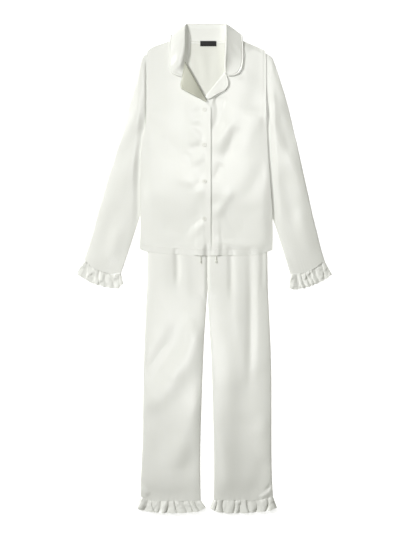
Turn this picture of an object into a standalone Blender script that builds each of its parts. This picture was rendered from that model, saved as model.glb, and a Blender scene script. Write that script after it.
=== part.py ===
"""Satin pyjama set laid out flat: a button-through shirt on top of a pair of trousers.

The set lies on the plane z = 0, face up. +X runs to the wearer's left, +Y to the neck and +Z up.
The origin is under the middle of the whole set. Lengths are in millimetres until mesh_object
turns them to metres. Right and left are the wearer's, so the right side is at -X.

Each piece is one closed wall of cloth. Layers are stacked by height functions of (x, y):
support is the shirt back's underside, and everything above it is that height plus walls and gaps.
"""
import math

import bmesh
import bpy
import numpy as np

MM = 0.001
SHARP_ANGLE = 50        # degrees, above which an edge between faces is drawn sharp

# Walls and clearances
WALL = 1.2              # one ply of satin with its seam allowances
TRIM_WALL = 1.8         # collar and lapels: two plies
GAP = 0.3               # kept at seams and between plies
PAIR = 2 * WALL + GAP   # a flattened tube where its two walls meet

# Loft of the laid cloth, above the wall below it
EDGE_LIFT = 0.5
SHIRT_CROWN = 1.9
SIDE_ROUNDING = 12      # distance over which the shirt's loft grows from its side seam
LEG_ROUNDING = 9        # the same at a leg's seams
SLEEVE_LIFT = 0.6
SLEEVE_CROWN = 3.0
LEG_CROWN_WAIST = 1.0
LEG_CROWN_HEM = 3.2

# Shirt
TROUSER_STEP = 8.4      # height at which the shirt lies on the trousers
SLEEVE_STEP = 4.3       # height at which its side lies on the tucked sleeve
OVERLAP_STEP = WALL + GAP + 0.2
UNDER_FRONT_EDGE = -19  # x of the hidden front edge
OVER_FRONT_EDGE = 20    # x of the edge that shows
RIGHT_ARMHOLE = -159    # x of the armhole seams
LEFT_ARMHOLE = 172
NECK_SEAM = 661         # y of the back neck seam
RIGHT_SHOULDER = -162   # x of the shoulder points
LEFT_SHOULDER = 175
HEM_CORNER = 50         # y of the hem's ends at the side seams
BACK_COLUMNS = (-97, -46, -43, 7, 54, 57, 111)  # x of the panels' inner grid columns
RIGHT_FRONT_COLUMNS = (-97, -46, -44, -35, -20, 0, 11, OVER_FRONT_EDGE)
LEFT_FRONT_COLUMNS = (UNDER_FRONT_EDGE, -9, 3, 20, 40, 56, 58, 111)
UNDERARM_TOP = 450      # y where the side starts to climb onto the sleeve
UNDERARM = 412

# Trousers
WAIST_TOP = 227
WAIST_SEAM = 192
STEP_START = 267        # y where the shirt's back starts to climb onto the waistband
STEP_END = 211
LEG_HEM = -651
SEAM_HALF = GAP / 2

# Blends between heights: the coordinate where each starts and where it is complete
STEP_SIDE = 14                      # half the width over which the shirt climbs at the legs' sides
TUCK_START = (105, 150)             # y over which the tucked sleeve starts to raise the side
TUCK_REACH = (30, 10)               # distance past the sleeve's inner edge
RIGHT_FALL = (-127, -103)           # x of the collar's fall under the shoulders
LEFT_FALL = (141, 117)
FALL_TOP = (606, 630)               # y of the same
RIGHT_OPENING = (-48, -40)          # x where the front's upper edge is the roll line
LEFT_OPENING = (62, 54)
RIGHT_OF_NECK = (-84, -52)          # x where the fronts lie low for the collar
LEFT_OF_NECK = (96, 64)
UNDER_COLLAR = (560, 600)           # y of the same
NECK_LOW = 0.9                      # share of the loft that they lose there
SHOULDER_BLEND = (0, 14)            # distance from the upper edge
CORNER_BLEND = (22, 8)              # distance from the side at the shoulder point
FOLD_SIDE = (6, 26)                 # distance from the side over which the folds grow
FOLD_TOP = (6, 30)                  # distance from the upper edge
OVERLAP_BLEND = (15, 2)             # distance short of the covered front edge
CROTCH_BLEND = (-40, 30)            # y about the crotch where the inner seam starts to be low
WAIST_BLEND = (50, -60)             # y over which the legs' loft grows
HEM_BLEND = (-10, 60)               # y about the leg's hem where it fades
COVERED_BLEND = (80, 30)            # y over which the legs' folds come out from under the shirt
SLEEVE_BLEND = (3, 26)              # distance from the body over which a sleeve's loft grows
CUFF_BLEND = (60, 130)              # height above the cuff over which it grows
CUFF_SLANT = 0.34                   # fall of the cuff's line from the body outwards
CUFF_SHARE = 0.3                    # share of the loft left at the cuff

# Trims
BUTTON_X = 1
BUTTON_ROWS = (452, 352, 248, 141)
BUTTON_R = 6.0
BUTTON_H = 2.4
LABEL = dict(left=-11, right=35, low=633, high=648, wall=1.0)
CORD_R = 1.6
CORD_STEP = 9.5
KNOT_R = 3.4

SATIN = "#f1f2ec"
SATIN_SHADE = "#e4e5dc"
PEARL = "#f4f3ee"
BLACK = "#141414"

# Side edges of the shirt body at each height
BODY_SIDES = (
    ("y", "right", "left"),
    (50, -183, 195),
    (95, -182, 196),
    (161, -181, 195),
    (249, -180, 188),
    (335, -177, 182),
    (366, -172, 180),
    (403, -165, 178),
    (483, -164, 177),
    (594, -164, 177),
    (620, -162, 175),
)

# Lower edge of the shirt, dipping to the front edges
SHIRT_HEM = (
    ("x", "y"),
    (-183, 54),
    (-162, 47),
    (-97, 41),
    (3, 36),
    (103, 37),
    (165, 41),
    (195, 53),
)

# Upper edges: shoulder, neck and roll line, from the armhole inwards
BACK_TOP = (
    ("x", "y"),
    (-162, 620),
    (-140, 634),
    (-97, 648),
    (-46, 657),
    (-43, NECK_SEAM),
    (54, NECK_SEAM),
    (57, 657),
    (111, 648),
    (154, 631),
    (175, 620),
)
RIGHT_FRONT_TOP = (
    ("x", "y"),
    (-162, 620),
    (-140, 634),
    (-97, 648),
    (-74, 654),
    (-46, 657),
    (-44, 589),
    (-35, 560),
    (-20, 532),
    (0, 493),
    (11, 476),
    (20, 457),
)
LEFT_FRONT_TOP = (
    ("x", "y"),
    (-19, 459),
    (-9, 473),
    (3, 489),
    (20, 512),
    (40, 537),
    (56, 557),
    (58, 657),
    (88, 654),
    (111, 648),
    (154, 631),
    (175, 620),
)

# Levels shared by the back and both fronts, then shares of the rest up to the upper edge
LEVELS = (105, 150, STEP_END, (STEP_START + STEP_END) / 2, STEP_START, 330, 400, UNDERARM, UNDERARM_TOP)
SHARES = (0.35, 0.72, 0.885, 1.0)
SIDE_STEPS = (0, 8, 18, 32, 50)

# Sleeves: each row is one flattened ring, by its outer and its inner (underarm) edge
RIGHT_SLEEVE = (
    ("outer_x", "outer_y", "inner_x", "inner_y"),
    (-159, 613, -159, 409),
    (-166, 612, -160, 406),
    (-176, 602, -161, 402),
    (-187, 571, -162, 395),
    (-194, 537, -162, 383),
    (-204, 503, -161, 369),
    (-217, 457, -155, 352),
    (-229, 400, -151, 329),
    (-251, 332, -151, 295),
    (-271, 269, -157, 241),
    (-289, 207, -172, 178),
    (-304, 155, -189, 127),
    (-317, 104, -204, 81),
    (-331, 58, -219, 36),
    (-342, 24, -235, -11),
)
LEFT_SLEEVE = (
    ("outer_x", "outer_y", "inner_x", "inner_y"),
    (172, 613, 172, 409),
    (180, 613, 174, 406),
    (195, 602, 176, 402),
    (206, 571, 177, 395),
    (217, 537, 177, 383),
    (228, 503, 175, 369),
    (241, 457, 171, 352),
    (254, 400, 167, 329),
    (269, 338, 165, 292),
    (284, 269, 170, 238),
    (298, 207, 185, 175),
    (309, 155, 200, 127),
    (322, 104, 215, 81),
    (333, 58, 229, 36),
    (344, 21, 245, -16),
)

# Legs: outer and inner edge at each height; above the crotch the inner edge is the centre seam
LEGS = (
    ("y", "right_outer", "right_inner", "left_inner", "left_outer"),
    (192, -137, 9, 9, 157),
    (152, -148, 9, 9, 168),
    (95, -158, 9, 9, 178),
    (36, -162, 9, 9, 181),
    (-20, -162, 9, 9, 181),
    (-56, -162, 11, 11, 182),
    (-90, -165, 8, 10, 183),
    (-158, -168, 3, 14, 187),
    (-230, -171, -1, 19, 190),
    (-300, -172, -4, 22, 192),
    (-370, -174, -6, 24, 192),
    (-460, -174, -9, 26, 192),
    (-540, -177, -11, 28, 192),
    (-600, -181, -10, 28, 193),
    (LEG_HEM, -181, -9, 27, 197),
)
CROTCH = -90
LEG_COLUMNS = (0, 0.03, 0.1, 0.2, 0.32, 0.45, 0.58, 0.7, 0.82, 0.93, 1)

# Collar: neck seam, roll and outer edge of each section from one end to the other.
# over is 0 where the fall lies under the back, 1 where it lies on the front.
COLLAR = (
    ("seam_x", "seam_y", "roll_x", "roll_y", "edge_x", "edge_y", "over", "roll_z"),
    (-40, 586, -56, 586, -62, 545, 1.0, 8.6),
    (-40, 592, -56, 590, -77, 548, 1.0, 9.4),
    (-40, 600, -56, 595, -92, 554, 1.0, 10.2),
    (-40, 614, -56, 608, -99, 570, 1.0, 11.2),
    (-40, 632, -55, 634, -100, 592, 1.0, 11.8),
    (-40, 648, -53, 662, -100, 614, 1.0, 11.4),
    (-40, 656, -49, 682, -99, 640, 1.0, 10.6),
    (-40, 661.3, -46, 691, -95, 660, 1.0, 9.6),
    (-39, 661.3, -45, 692, -94, 661, 0.75, 9.0),
    (-38, 661.3, -44, 693, -93, 661, 0.45, 9.0),
    (-37, 661.3, -43, 694, -90, 660, 0.15, 9.0),
    (-36, 661.3, -42, 696, -82, 654, 0.0, 9.0),
    (-28, 661.3, -32, 696.6, -52, 643, 0.0, 9.0),
    (7, 661.3, 7, 696.6, 7, 637, 0.0, 9.0),
    (42, 661.3, 46, 696.6, 66, 643, 0.0, 9.0),
    (50, 661.3, 56, 696, 96, 654, 0.0, 9.0),
    (51, 661.3, 57, 694, 104, 660, 0.15, 9.0),
    (52, 661.3, 58, 693, 107, 661, 0.45, 9.0),
    (53, 661.3, 59, 692, 108, 661, 0.75, 9.0),
    (53, 661.3, 60, 691, 109, 660, 1.0, 9.6),
    (53, 656, 62, 682, 112, 640, 1.0, 10.6),
    (53, 648, 63, 662, 112, 614, 1.0, 11.4),
    (53, 632, 63, 634, 112, 592, 1.0, 11.8),
    (52, 608, 62, 606, 110, 570, 1.0, 11.2),
    (51, 584, 61, 580, 101, 555, 1.0, 10.2),
    (51, 568, 61, 564, 87, 549, 1.0, 9.4),
    (51, 558, 61, 556, 68, 547, 1.0, 8.6),
)
SHOULDER_BULGE = 3.5

# Lapels: roll line and outer edge, from the notch down to the break of the lapel
RIGHT_LAPEL = (
    ("roll_x", "roll_y", "edge_x", "edge_y"),
    (-54, 579, -60, 541),
    (-46, 565, -64.5, 530),
    (-38, 552, -66, 521),
    (-27, 534, -63, 511),
    (-14, 514, -38, 498),
    (-3, 496, -14, 486),
    (3, 486, 4, 478),
)
LEFT_LAPEL = (
    ("roll_x", "roll_y", "edge_x", "edge_y"),
    (61, 552, 66, 544),
    (52, 541, 69, 534),
    (41, 528, 69, 521),
    (30, 515, 61, 509),
    (21, 504, 34, 494),
    (14, 496, 21, 487),
    (9, 490, 11, 483),
)
LAPEL_PROFILE = (
    ("across", "rise"),
    (0.0, 0.3),
    (0.22, 1.6),
    (0.5, 2.2),
    (0.78, 1.3),
    (1.0, 0.0),
)

# Largest folds: a soft ridge (+) or trough (-) from one point to another
SHIRT_FOLDS = (
    ("x0", "y0", "x1", "y1", "half_width", "height"),
    (-45, 430, -120, 520, 20, 1.0),
    (-40, 300, -130, 250, 22, -1.1),
    (-45, 150, -150, 95, 20, -1.1),
    (-30, 110, -110, 60, 18, 1.2),
    (45, 330, 120, 430, 20, 1.1),
    (45, 190, 140, 300, 22, 1.1),
    (60, 120, 150, 70, 20, -1.0),
    (95, 520, 60, 420, 18, -0.9),
)
SLEEVE_FOLDS = (
    ("x0", "y0", "x1", "y1", "half_width", "height"),
    (-200, 470, -225, 330, 12, -1.2),
    (-245, 250, -290, 60, 16, 1.2),
    (-230, 120, -250, 20, 10, -1.0),
    (220, 470, 240, 330, 12, -1.2),
    (262, 300, 300, 120, 16, 1.2),
    (290, 80, 300, 10, 10, -1.0),
)
LEG_FOLDS = (
    ("x0", "y0", "x1", "y1", "half_width", "height"),
    (-85, 60, -85, -45, 7, -1.6),
    (68, 60, 69, -160, 8, -1.6),
    (121, 60, 118, -370, 9, -2.0),
    (160, 60, 158, -60, 7, -1.2),
    (-35, -150, -110, -330, 18, 1.6),
    (-110, -330, -165, -365, 16, 1.2),
    (-60, -120, -140, -270, 14, -1.3),
    (-20, -260, -90, -420, 16, -1.2),
    (95, -300, 100, -600, 22, 1.2),
)

# Ruffles: their free edge, from the outer to the inner end of the seam
RIGHT_CUFF_EDGE = (
    ("x", "y"),
    (-365, -17),
    (-342, -30),
    (-319, -43),
    (-294, -51),
    (-268, -56),
    (-243, -57),
    (-230, -43),
)
LEFT_CUFF_EDGE = (
    ("x", "y"),
    (365, -17),
    (351, -29),
    (331, -40),
    (308, -49),
    (288, -56),
    (262, -60),
    (240, -57),
)
RIGHT_HEM_EDGE = (
    ("x", "y"),
    (-194, -682),
    (-174, -690),
    (-140, -695),
    (-91, -697.5),
    (-40, -695),
    (-9, -691),
    (6, -681),
)
LEFT_HEM_EDGE = (
    ("x", "y"),
    (208, -681),
    (188, -690),
    (148, -694),
    (103, -697.5),
    (60, -697),
    (31, -691),
    (15, -683),
)
CUFF_FLUTES = 7
HEM_FLUTES = 10
FLUTE_HEIGHT = 2.6

# Drawstring ends, from the waistband's eyelets to their tips
RIGHT_CORD = (
    ("x", "y", "z"),
    (-1, 199, 5.9),
    (-4, 175, 6.0),
    (-7, 150, 6.0),
    (-9, 120, 6.0),
    (-10, 90, 6.1),
    (-11, 60, 6.2),
    (-10, 38, 6.4),
    (-9, 22, 7.2),
)
LEFT_CORD = (
    ("x", "y", "z"),
    (17, 199, 5.9),
    (21, 175, 6.0),
    (25, 150, 6.0),
    (29, 120, 6.0),
    (32, 90, 6.1),
    (33, 60, 6.2),
    (34, 38, 6.4),
    (35, 22, 7.2),
)


def read(table):
    """Columns of a table, by the names in its first row."""
    rows = np.array(table[1:], dtype=float)
    return {name: rows[:, place] for place, name in enumerate(table[0])}


def look_up(table, key, value, at):
    """Value column at a place between the rows, straight from row to row."""
    columns = read(table)
    order = np.argsort(columns[key])
    return np.interp(at, columns[key][order], columns[value][order])


def ramp(value, low, high):
    """Smooth step: 0 up to low and 1 from high on, or the other way round when high < low."""
    share = np.clip((value - low) / (high - low), 0, 1)
    return share * share * (3 - 2 * share)


def folds(table, x, y):
    """Sum of soft ridges: height times a bell across the line, fading near the line's ends."""
    total = np.zeros(np.broadcast(x, y).shape)
    for x0, y0, x1, y1, half_width, height in np.array(table[1:], dtype=float):
        length = math.hypot(x1 - x0, y1 - y0)
        along = ((x - x0) * (x1 - x0) + (y - y0) * (y1 - y0)) / length ** 2
        aside = ((x - x0) * (y1 - y0) - (y - y0) * (x1 - x0)) / length
        bell = np.exp(-(aside / half_width) ** 2)
        total = total + height * bell * ramp(along, -0.15, 0.2) * ramp(along, 1.15, 0.8)
    return total


def body_side(side, y):
    """x of the shirt body's side edge."""
    return look_up(BODY_SIDES, "y", side, y)


def leg_edge(name, y):
    """x of one of the legs' edges."""
    return look_up(LEGS, "y", name, y)


def support(x, y):
    """Underside of the shirt's back: the plane, the trousers, the tucked sleeves, the collar's fall."""
    from_right = ramp(x, leg_edge("right_outer", y) - STEP_SIDE, leg_edge("right_outer", y) + STEP_SIDE)
    from_left = ramp(x, leg_edge("left_outer", y) + STEP_SIDE, leg_edge("left_outer", y) - STEP_SIDE)
    on_trousers = TROUSER_STEP * from_right * from_left * ramp(y, STEP_START, STEP_END)
    span = ramp(y, *TUCK_START) * ramp(y, UNDERARM_TOP, UNDERARM)
    right_reach = look_up(RIGHT_SLEEVE, "inner_y", "inner_x", y)
    left_reach = look_up(LEFT_SLEEVE, "inner_y", "inner_x", y)
    sleeve_sides = np.maximum(ramp(x - right_reach, *TUCK_REACH), ramp(left_reach - x, *TUCK_REACH))
    on_sleeves = SLEEVE_STEP * span * sleeve_sides
    across_neck = ramp(x, *RIGHT_FALL) * ramp(x, *LEFT_FALL)
    on_collar = (TRIM_WALL + GAP) * ramp(y, *FALL_TOP) * across_neck
    return np.maximum(np.maximum(on_trousers, on_sleeves), on_collar)


def shirt_lift(x, y, top):
    """Loft of the fronts above the back: low at the side seams, shoulders and neck, then folds."""
    aside = np.minimum(x - body_side("right", y), body_side("left", y) - x)
    at_armhole = ramp(y, UNDERARM, UNDERARM_TOP)
    from_side = np.maximum(1 - np.exp(-np.maximum(aside, 0) / SIDE_ROUNDING), at_armhole)
    at_opening = ramp(x, *RIGHT_OPENING) * ramp(x, *LEFT_OPENING)
    at_corner = np.maximum(ramp(aside, *CORNER_BLEND), at_opening)
    from_shoulder = np.maximum(ramp(top - y, *SHOULDER_BLEND), at_corner)
    beside_neck = ramp(x, *RIGHT_OF_NECK) * ramp(x, *LEFT_OF_NECK)
    at_neck = 1 - NECK_LOW * beside_neck * ramp(y, *UNDER_COLLAR)
    lift = EDGE_LIFT + SHIRT_CROWN * from_side * from_shoulder * at_neck
    fade = ramp(aside, *FOLD_SIDE) * ramp(top - y, *FOLD_TOP)
    return lift + folds(SHIRT_FOLDS, x, y) * fade


def front_under(x, y, top, laps_over):
    """Underside of a front; the lapping one steps up over the other's edge."""
    step = OVERLAP_STEP * ramp(UNDER_FRONT_EDGE - x, *OVERLAP_BLEND)
    return support(x, y) + WALL + GAP + shirt_lift(x, y, top) + laps_over * step


def front_face(x, y, laps_over):
    """Upper face of a front, well inside its edges."""
    return front_under(x, y, y + 100, laps_over) + WALL


def leg_lift(x, y, side):
    """Loft of a trouser front above its back."""
    outer = leg_edge(side + "_outer", y)
    inner = leg_edge(side + "_inner", y)
    from_outer = 1 - np.exp(-np.abs(x - outer) / LEG_ROUNDING)
    from_inner = 1 - np.exp(-np.abs(x - inner) / LEG_ROUNDING)
    from_inner = np.maximum(from_inner, ramp(y - CROTCH, *CROTCH_BLEND))
    crown = LEG_CROWN_WAIST + (LEG_CROWN_HEM - LEG_CROWN_WAIST) * ramp(y, *WAIST_BLEND)
    crown = crown * ramp(y - LEG_HEM, *HEM_BLEND)
    fade = from_outer * from_inner * ramp(y, *COVERED_BLEND) * ramp(y - LEG_HEM, 0, HEM_BLEND[1])
    lift = crown * from_outer * from_inner + folds(LEG_FOLDS, x, y) * fade
    return np.maximum(lift, 0)


def mesh_object(name, points, faces, color, roughness=0.4):
    """Mesh object from millimetre points, with its faces turned outwards and its own material."""
    mesh = bpy.data.meshes.new(name)
    mesh.from_pydata((np.asarray(points) * MM).tolist(), [], faces)
    work = bmesh.new()
    work.from_mesh(mesh)
    bmesh.ops.recalc_face_normals(work, faces=work.faces)
    bmesh.ops.triangulate(work, faces=work.faces)
    work.to_mesh(mesh)
    work.free()
    mesh.shade_smooth()
    mesh.set_sharp_from_angle(angle=math.radians(SHARP_ANGLE))
    item = bpy.data.objects.new(name, mesh)
    bpy.context.collection.objects.link(item)
    mesh.materials.append(finish(name, color, roughness))
    return item


def finish(name, color, roughness):
    """Principled material of one plain colour."""
    material = bpy.data.materials.new(name)
    material.use_nodes = True
    shader = material.node_tree.nodes["Principled BSDF"]
    parts = [int(color[place:place + 2], 16) / 255 for place in (1, 3, 5)]
    linear = [part / 12.92 if part <= 0.04045 else ((part + 0.055) / 1.055) ** 2.4 for part in parts]
    shader.inputs["Base Color"].default_value = (*linear, 1)
    shader.inputs["Roughness"].default_value = roughness
    shader.inputs["Metallic"].default_value = 0
    return material


def grid_faces(rows, columns, start, wrap=False):
    """Quads of a grid stored row by row; wrap joins the last column to the first."""
    faces = []
    for row in range(rows - 1):
        for column in range(columns if wrap else columns - 1):
            beside = (column + 1) % columns
            low = start + row * columns
            high = low + columns
            faces.append((low + column, low + beside, high + beside, high + column))
    return faces


def slab(name, lower, upper, color, roughness=0.4):
    """Closed wall between two grids of the same shape (rows, columns, 3)."""
    rows, columns = lower.shape[:2]
    count = rows * columns
    points = np.concatenate((lower.reshape(-1, 3), upper.reshape(-1, 3)))
    faces = grid_faces(rows, columns, 0) + grid_faces(rows, columns, count)
    rim = list(range(columns))
    rim += [row * columns + columns - 1 for row in range(1, rows)]
    rim += [(rows - 1) * columns + column for column in range(columns - 2, -1, -1)]
    rim += [row * columns for row in range(rows - 2, 0, -1)]
    for here, there in zip(rim, rim[1:] + rim[:1]):
        faces.append((here, there, there + count, here + count))
    return mesh_object(name, points, faces, color, roughness)


def tube(name, outside, inside, color):
    """Open-ended tube between two stacks of rings (rings, points, 3)."""
    rings, count = outside.shape[:2]
    points = np.concatenate((outside.reshape(-1, 3), inside.reshape(-1, 3)))
    faces = grid_faces(rings, count, 0, wrap=True) + grid_faces(rings, count, rings * count, wrap=True)
    for ring in (0, rings - 1):
        for place in range(count):
            here = ring * count + place
            there = ring * count + (place + 1) % count
            faces.append((here, there, there + rings * count, here + rings * count))
    return mesh_object(name, points, faces, color)


def body_grid(top_table, columns):
    """Plan grid of a shirt panel: rows from the hem to the upper edge, columns across.

    A column is ("right", steps in from that side), ("left", steps in) or ("at", its own x).
    """
    xs = []
    ys = []
    for kind, value in columns:
        guide = value
        if kind == "right":
            guide = RIGHT_SHOULDER + value
        if kind == "left":
            guide = LEFT_SHOULDER - value
        top = look_up(top_table, "x", "y", guide)
        levels = list(LEVELS)
        levels += [UNDERARM_TOP + share * (top - UNDERARM_TOP) for share in SHARES]
        edge = np.array(levels)
        if kind == "right":
            column_x = body_side("right", edge) + value
            low_x = body_side("right", HEM_CORNER) + value
        elif kind == "left":
            column_x = body_side("left", edge) - value
            low_x = body_side("left", HEM_CORNER) - value
        else:
            column_x = np.full(edge.shape, float(value))
            low_x = value
        hem = look_up(SHIRT_HEM, "x", "y", low_x)
        xs.append(np.concatenate(([low_x], column_x)))
        ys.append(np.concatenate(([hem], edge)))
    return np.array(xs).T, np.array(ys).T


def layered(name, x, y, under, color, wall=WALL):
    """Panel of even wall whose underside is at the given heights."""
    lower = np.stack((x, y, under), axis=-1)
    upper = np.stack((x, y, under + wall), axis=-1)
    return slab(name, lower, upper, color)


def shirt_back():
    """Back, kept inside the armhole seams above the underarm."""
    columns = [("right", step) for step in SIDE_STEPS]
    columns += [("at", x) for x in BACK_COLUMNS]
    columns += [("left", step) for step in reversed(SIDE_STEPS)]
    x, y = body_grid(BACK_TOP, columns)
    above = y >= UNDERARM - 0.01
    x = np.where(above, np.clip(x, RIGHT_ARMHOLE + GAP, LEFT_ARMHOLE - GAP), x)
    return layered("shirt_back", x, y, support(x, y), SATIN_SHADE)


def shirt_front(side):
    """Front of one side; the right one laps over the left."""
    table = RIGHT_FRONT_TOP if side == "right" else LEFT_FRONT_TOP
    if side == "right":
        columns = [(side, step) for step in SIDE_STEPS]
        columns += [("at", x) for x in RIGHT_FRONT_COLUMNS]
    else:
        columns = [("at", x) for x in LEFT_FRONT_COLUMNS]
        columns += [(side, step) for step in reversed(SIDE_STEPS)]
    x, y = body_grid(table, columns)
    top = np.broadcast_to(y[-1], y.shape)
    under = front_under(x, y, top, 1 if side == "right" else 0)
    return layered("shirt_front_" + side, x, y, under, SATIN)


def flat_rings(outer, inner, lift, front_points, back_points):
    """Rings of a flattened tube. Each ring runs back along the floor and forth over the top.

    outer and inner are (rings, 2) plan edges; lift(x, y, across) is the upper wall's loft.
    """
    width = np.linalg.norm(inner - outer, axis=1)[:, None]
    shells = []
    for inset, floor, roof in ((0.0, 0.0, PAIR), (WALL, WALL, WALL + GAP)):
        first = (inset + 1.2) / width
        over = np.linspace(0, 1, front_points)[None, :]
        over = first + (1 - 2 * first) * over
        below = np.linspace(1, 0, back_points)[None, :]
        below = first + (1 - 2 * first) * below
        tip = inset / width
        across = np.concatenate((tip, over, 1 - tip, below), axis=1)
        x = outer[:, :1] + (inner - outer)[:, :1] * across
        y = outer[:, 1:] + (inner - outer)[:, 1:] * across
        true_across = np.clip(across, 0, 1)
        high = roof + lift(x, y, true_across)
        middle = PAIR / 2
        z = np.full(x.shape, floor)
        z[:, 1:1 + front_points] = high[:, 1:1 + front_points]
        z[:, 0] = middle
        z[:, 1 + front_points] = middle
        shells.append(np.stack((x, y, z), axis=-1))
    return shells


def sleeve(side):
    """Set-in sleeve: a tube that leaves the armhole and lies beside the body, its inner edge under it."""
    table = read(RIGHT_SLEEVE if side == "right" else LEFT_SLEEVE)
    outer = np.stack((table["outer_x"], table["outer_y"]), axis=1)
    inner = np.stack((table["inner_x"], table["inner_y"]), axis=1)
    direction = -1 if side == "right" else 1

    def lift(x, y, across):
        outside = (x - body_side(side, y)) * direction
        outside = np.where(y < TUCK_START[0] - 5, 2 * SLEEVE_BLEND[1], outside)
        crown = SLEEVE_CROWN * (1 - np.abs(2 * across - 1) ** 3) + folds(SLEEVE_FOLDS, x, y)
        seam = ramp(y + CUFF_SLANT * np.abs(x), *CUFF_BLEND)
        from_cuff = CUFF_SHARE + (1 - CUFF_SHARE) * seam
        return SLEEVE_LIFT + np.maximum(crown, 0) * ramp(outside, *SLEEVE_BLEND) * from_cuff

    outside, inside = flat_rings(outer, inner, lift, 8, 4)
    return tube("sleeve_" + side, outside, inside, SATIN)


def ruffle(name, seam_outer, seam_inner, edge_table, flutes):
    """Gathered frill: a flattened ring whose upper wall is fluted, more so at its free edge."""
    edge = read(edge_table)
    free = np.stack((edge["x"], edge["y"]), axis=1)
    reach = np.concatenate(([0], np.cumsum(np.linalg.norm(np.diff(free, axis=0), axis=1))))
    reach = reach / reach[-1]
    front_points = flutes * 4 + 1
    back_points = flutes + 1
    depth = np.array((0.0, 0.35, 1.0))[:, None]
    shells = []
    for inset, floor, roof in ((0.0, 0.0, PAIR), (WALL, WALL, WALL + GAP)):
        share = inset / np.linalg.norm(seam_inner - seam_outer)
        over = np.linspace(share + 0.01, 1 - share - 0.01, front_points)
        below = np.linspace(1 - share - 0.01, share + 0.01, back_points)
        across = np.concatenate(([share], over, [1 - share], below))
        seam = seam_outer + (seam_inner - seam_outer) * across[:, None]
        low = np.stack((np.interp(across, reach, free[:, 0]), np.interp(across, reach, free[:, 1])), 1)
        x = seam[:, 0] + (low[:, 0] - seam[:, 0]) * depth
        y = seam[:, 1] + (low[:, 1] - seam[:, 1]) * depth
        phase = across + 0.018 * np.sin(across * 17) + 0.01 * np.sin(across * 41 + 1)
        wave = 0.5 - 0.5 * np.cos(2 * math.pi * flutes * phase)
        fade = ramp(across, 0, 0.03) * ramp(across, 1, 0.97)
        z = np.full(x.shape, floor)
        roof_z = roof + 0.3 + FLUTE_HEIGHT * (0.35 + 0.65 * depth) * wave * fade
        z[:, 1:1 + front_points] = roof_z[:, 1:1 + front_points]
        z[:, 0] = PAIR / 2
        z[:, 1 + front_points] = PAIR / 2
        shells.append(np.stack((x, y, z), axis=-1))
    return tube(name, shells[0], shells[1], SATIN)


def cuff_ruffle(side):
    """Frill at the end of a sleeve, one seam gap away from it."""
    table = read(RIGHT_SLEEVE if side == "right" else LEFT_SLEEVE)
    outer = np.array((table["outer_x"][-1], table["outer_y"][-1]))
    inner = np.array((table["inner_x"][-1], table["inner_y"][-1]))
    along = inner - outer
    away = np.array((along[1], -along[0])) / np.linalg.norm(along)
    away = away if away[1] < 0 else -away
    edge = RIGHT_CUFF_EDGE if side == "right" else LEFT_CUFF_EDGE
    name = "cuff_ruffle_" + side
    return ruffle(name, outer + GAP * away, inner + GAP * away, edge, CUFF_FLUTES)


def hem_ruffle(side):
    """Frill at the end of a trouser leg."""
    y = LEG_HEM - GAP
    outer = np.array((leg_edge(side + "_outer", LEG_HEM), y))
    inner = np.array((leg_edge(side + "_inner", LEG_HEM), y))
    edge = RIGHT_HEM_EDGE if side == "right" else LEFT_HEM_EDGE
    return ruffle("hem_ruffle_" + side, outer, inner, edge, HEM_FLUTES)


def leg_plan(side, columns):
    """Plan grid of a trouser panel, one seam gap short of the other leg and the waistband."""
    y = read(LEGS)["y"].copy()
    outer = leg_edge(side + "_outer", y)
    inner = leg_edge(side + "_inner", y)
    inner = inner + (-SEAM_HALF if side == "right" else SEAM_HALF)
    y[0] = WAIST_SEAM - GAP
    share = np.array(columns)[None, :]
    x = outer[:, None] + (inner - outer)[:, None] * share
    return x, np.broadcast_to(y[:, None], x.shape)


def trouser_front(side):
    """Front of one leg with half of the seat."""
    x, y = leg_plan(side, LEG_COLUMNS)
    under = WALL + GAP + leg_lift(x, y, side)
    return layered("trouser_front_" + side, x, y, under, SATIN)


def trouser_back(side):
    """Back of one leg, flat on the plane."""
    x, y = leg_plan(side, (0, 1))
    return layered("trouser_back_" + side, x, y, np.zeros(x.shape), SATIN_SHADE)


def waistband():
    """Casing of the drawstring: a flattened ring above the trouser panels."""
    y = np.array((WAIST_TOP, WAIST_SEAM))
    outer = np.stack((np.full(2, leg_edge("right_outer", WAIST_SEAM)), y), axis=1)
    inner = np.stack((np.full(2, leg_edge("left_outer", WAIST_SEAM)), y), axis=1)

    def lift(x, y, across):
        return EDGE_LIFT * np.sin(math.pi * across)

    outside, inside = flat_rings(outer, inner, lift, 11, 4)
    return tube("waistband", outside, inside, SATIN_SHADE)


def wall_about(name, middle, wall, color):
    """Wall of even thickness about a grid of middle points, along the grid's normals."""
    down = np.gradient(middle, axis=0)
    across = np.gradient(middle, axis=1)
    normal = np.cross(across, down)
    normal = normal / np.linalg.norm(normal, axis=-1, keepdims=True)
    return slab(name, middle - normal * wall / 2, middle + normal * wall / 2, color)


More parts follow.
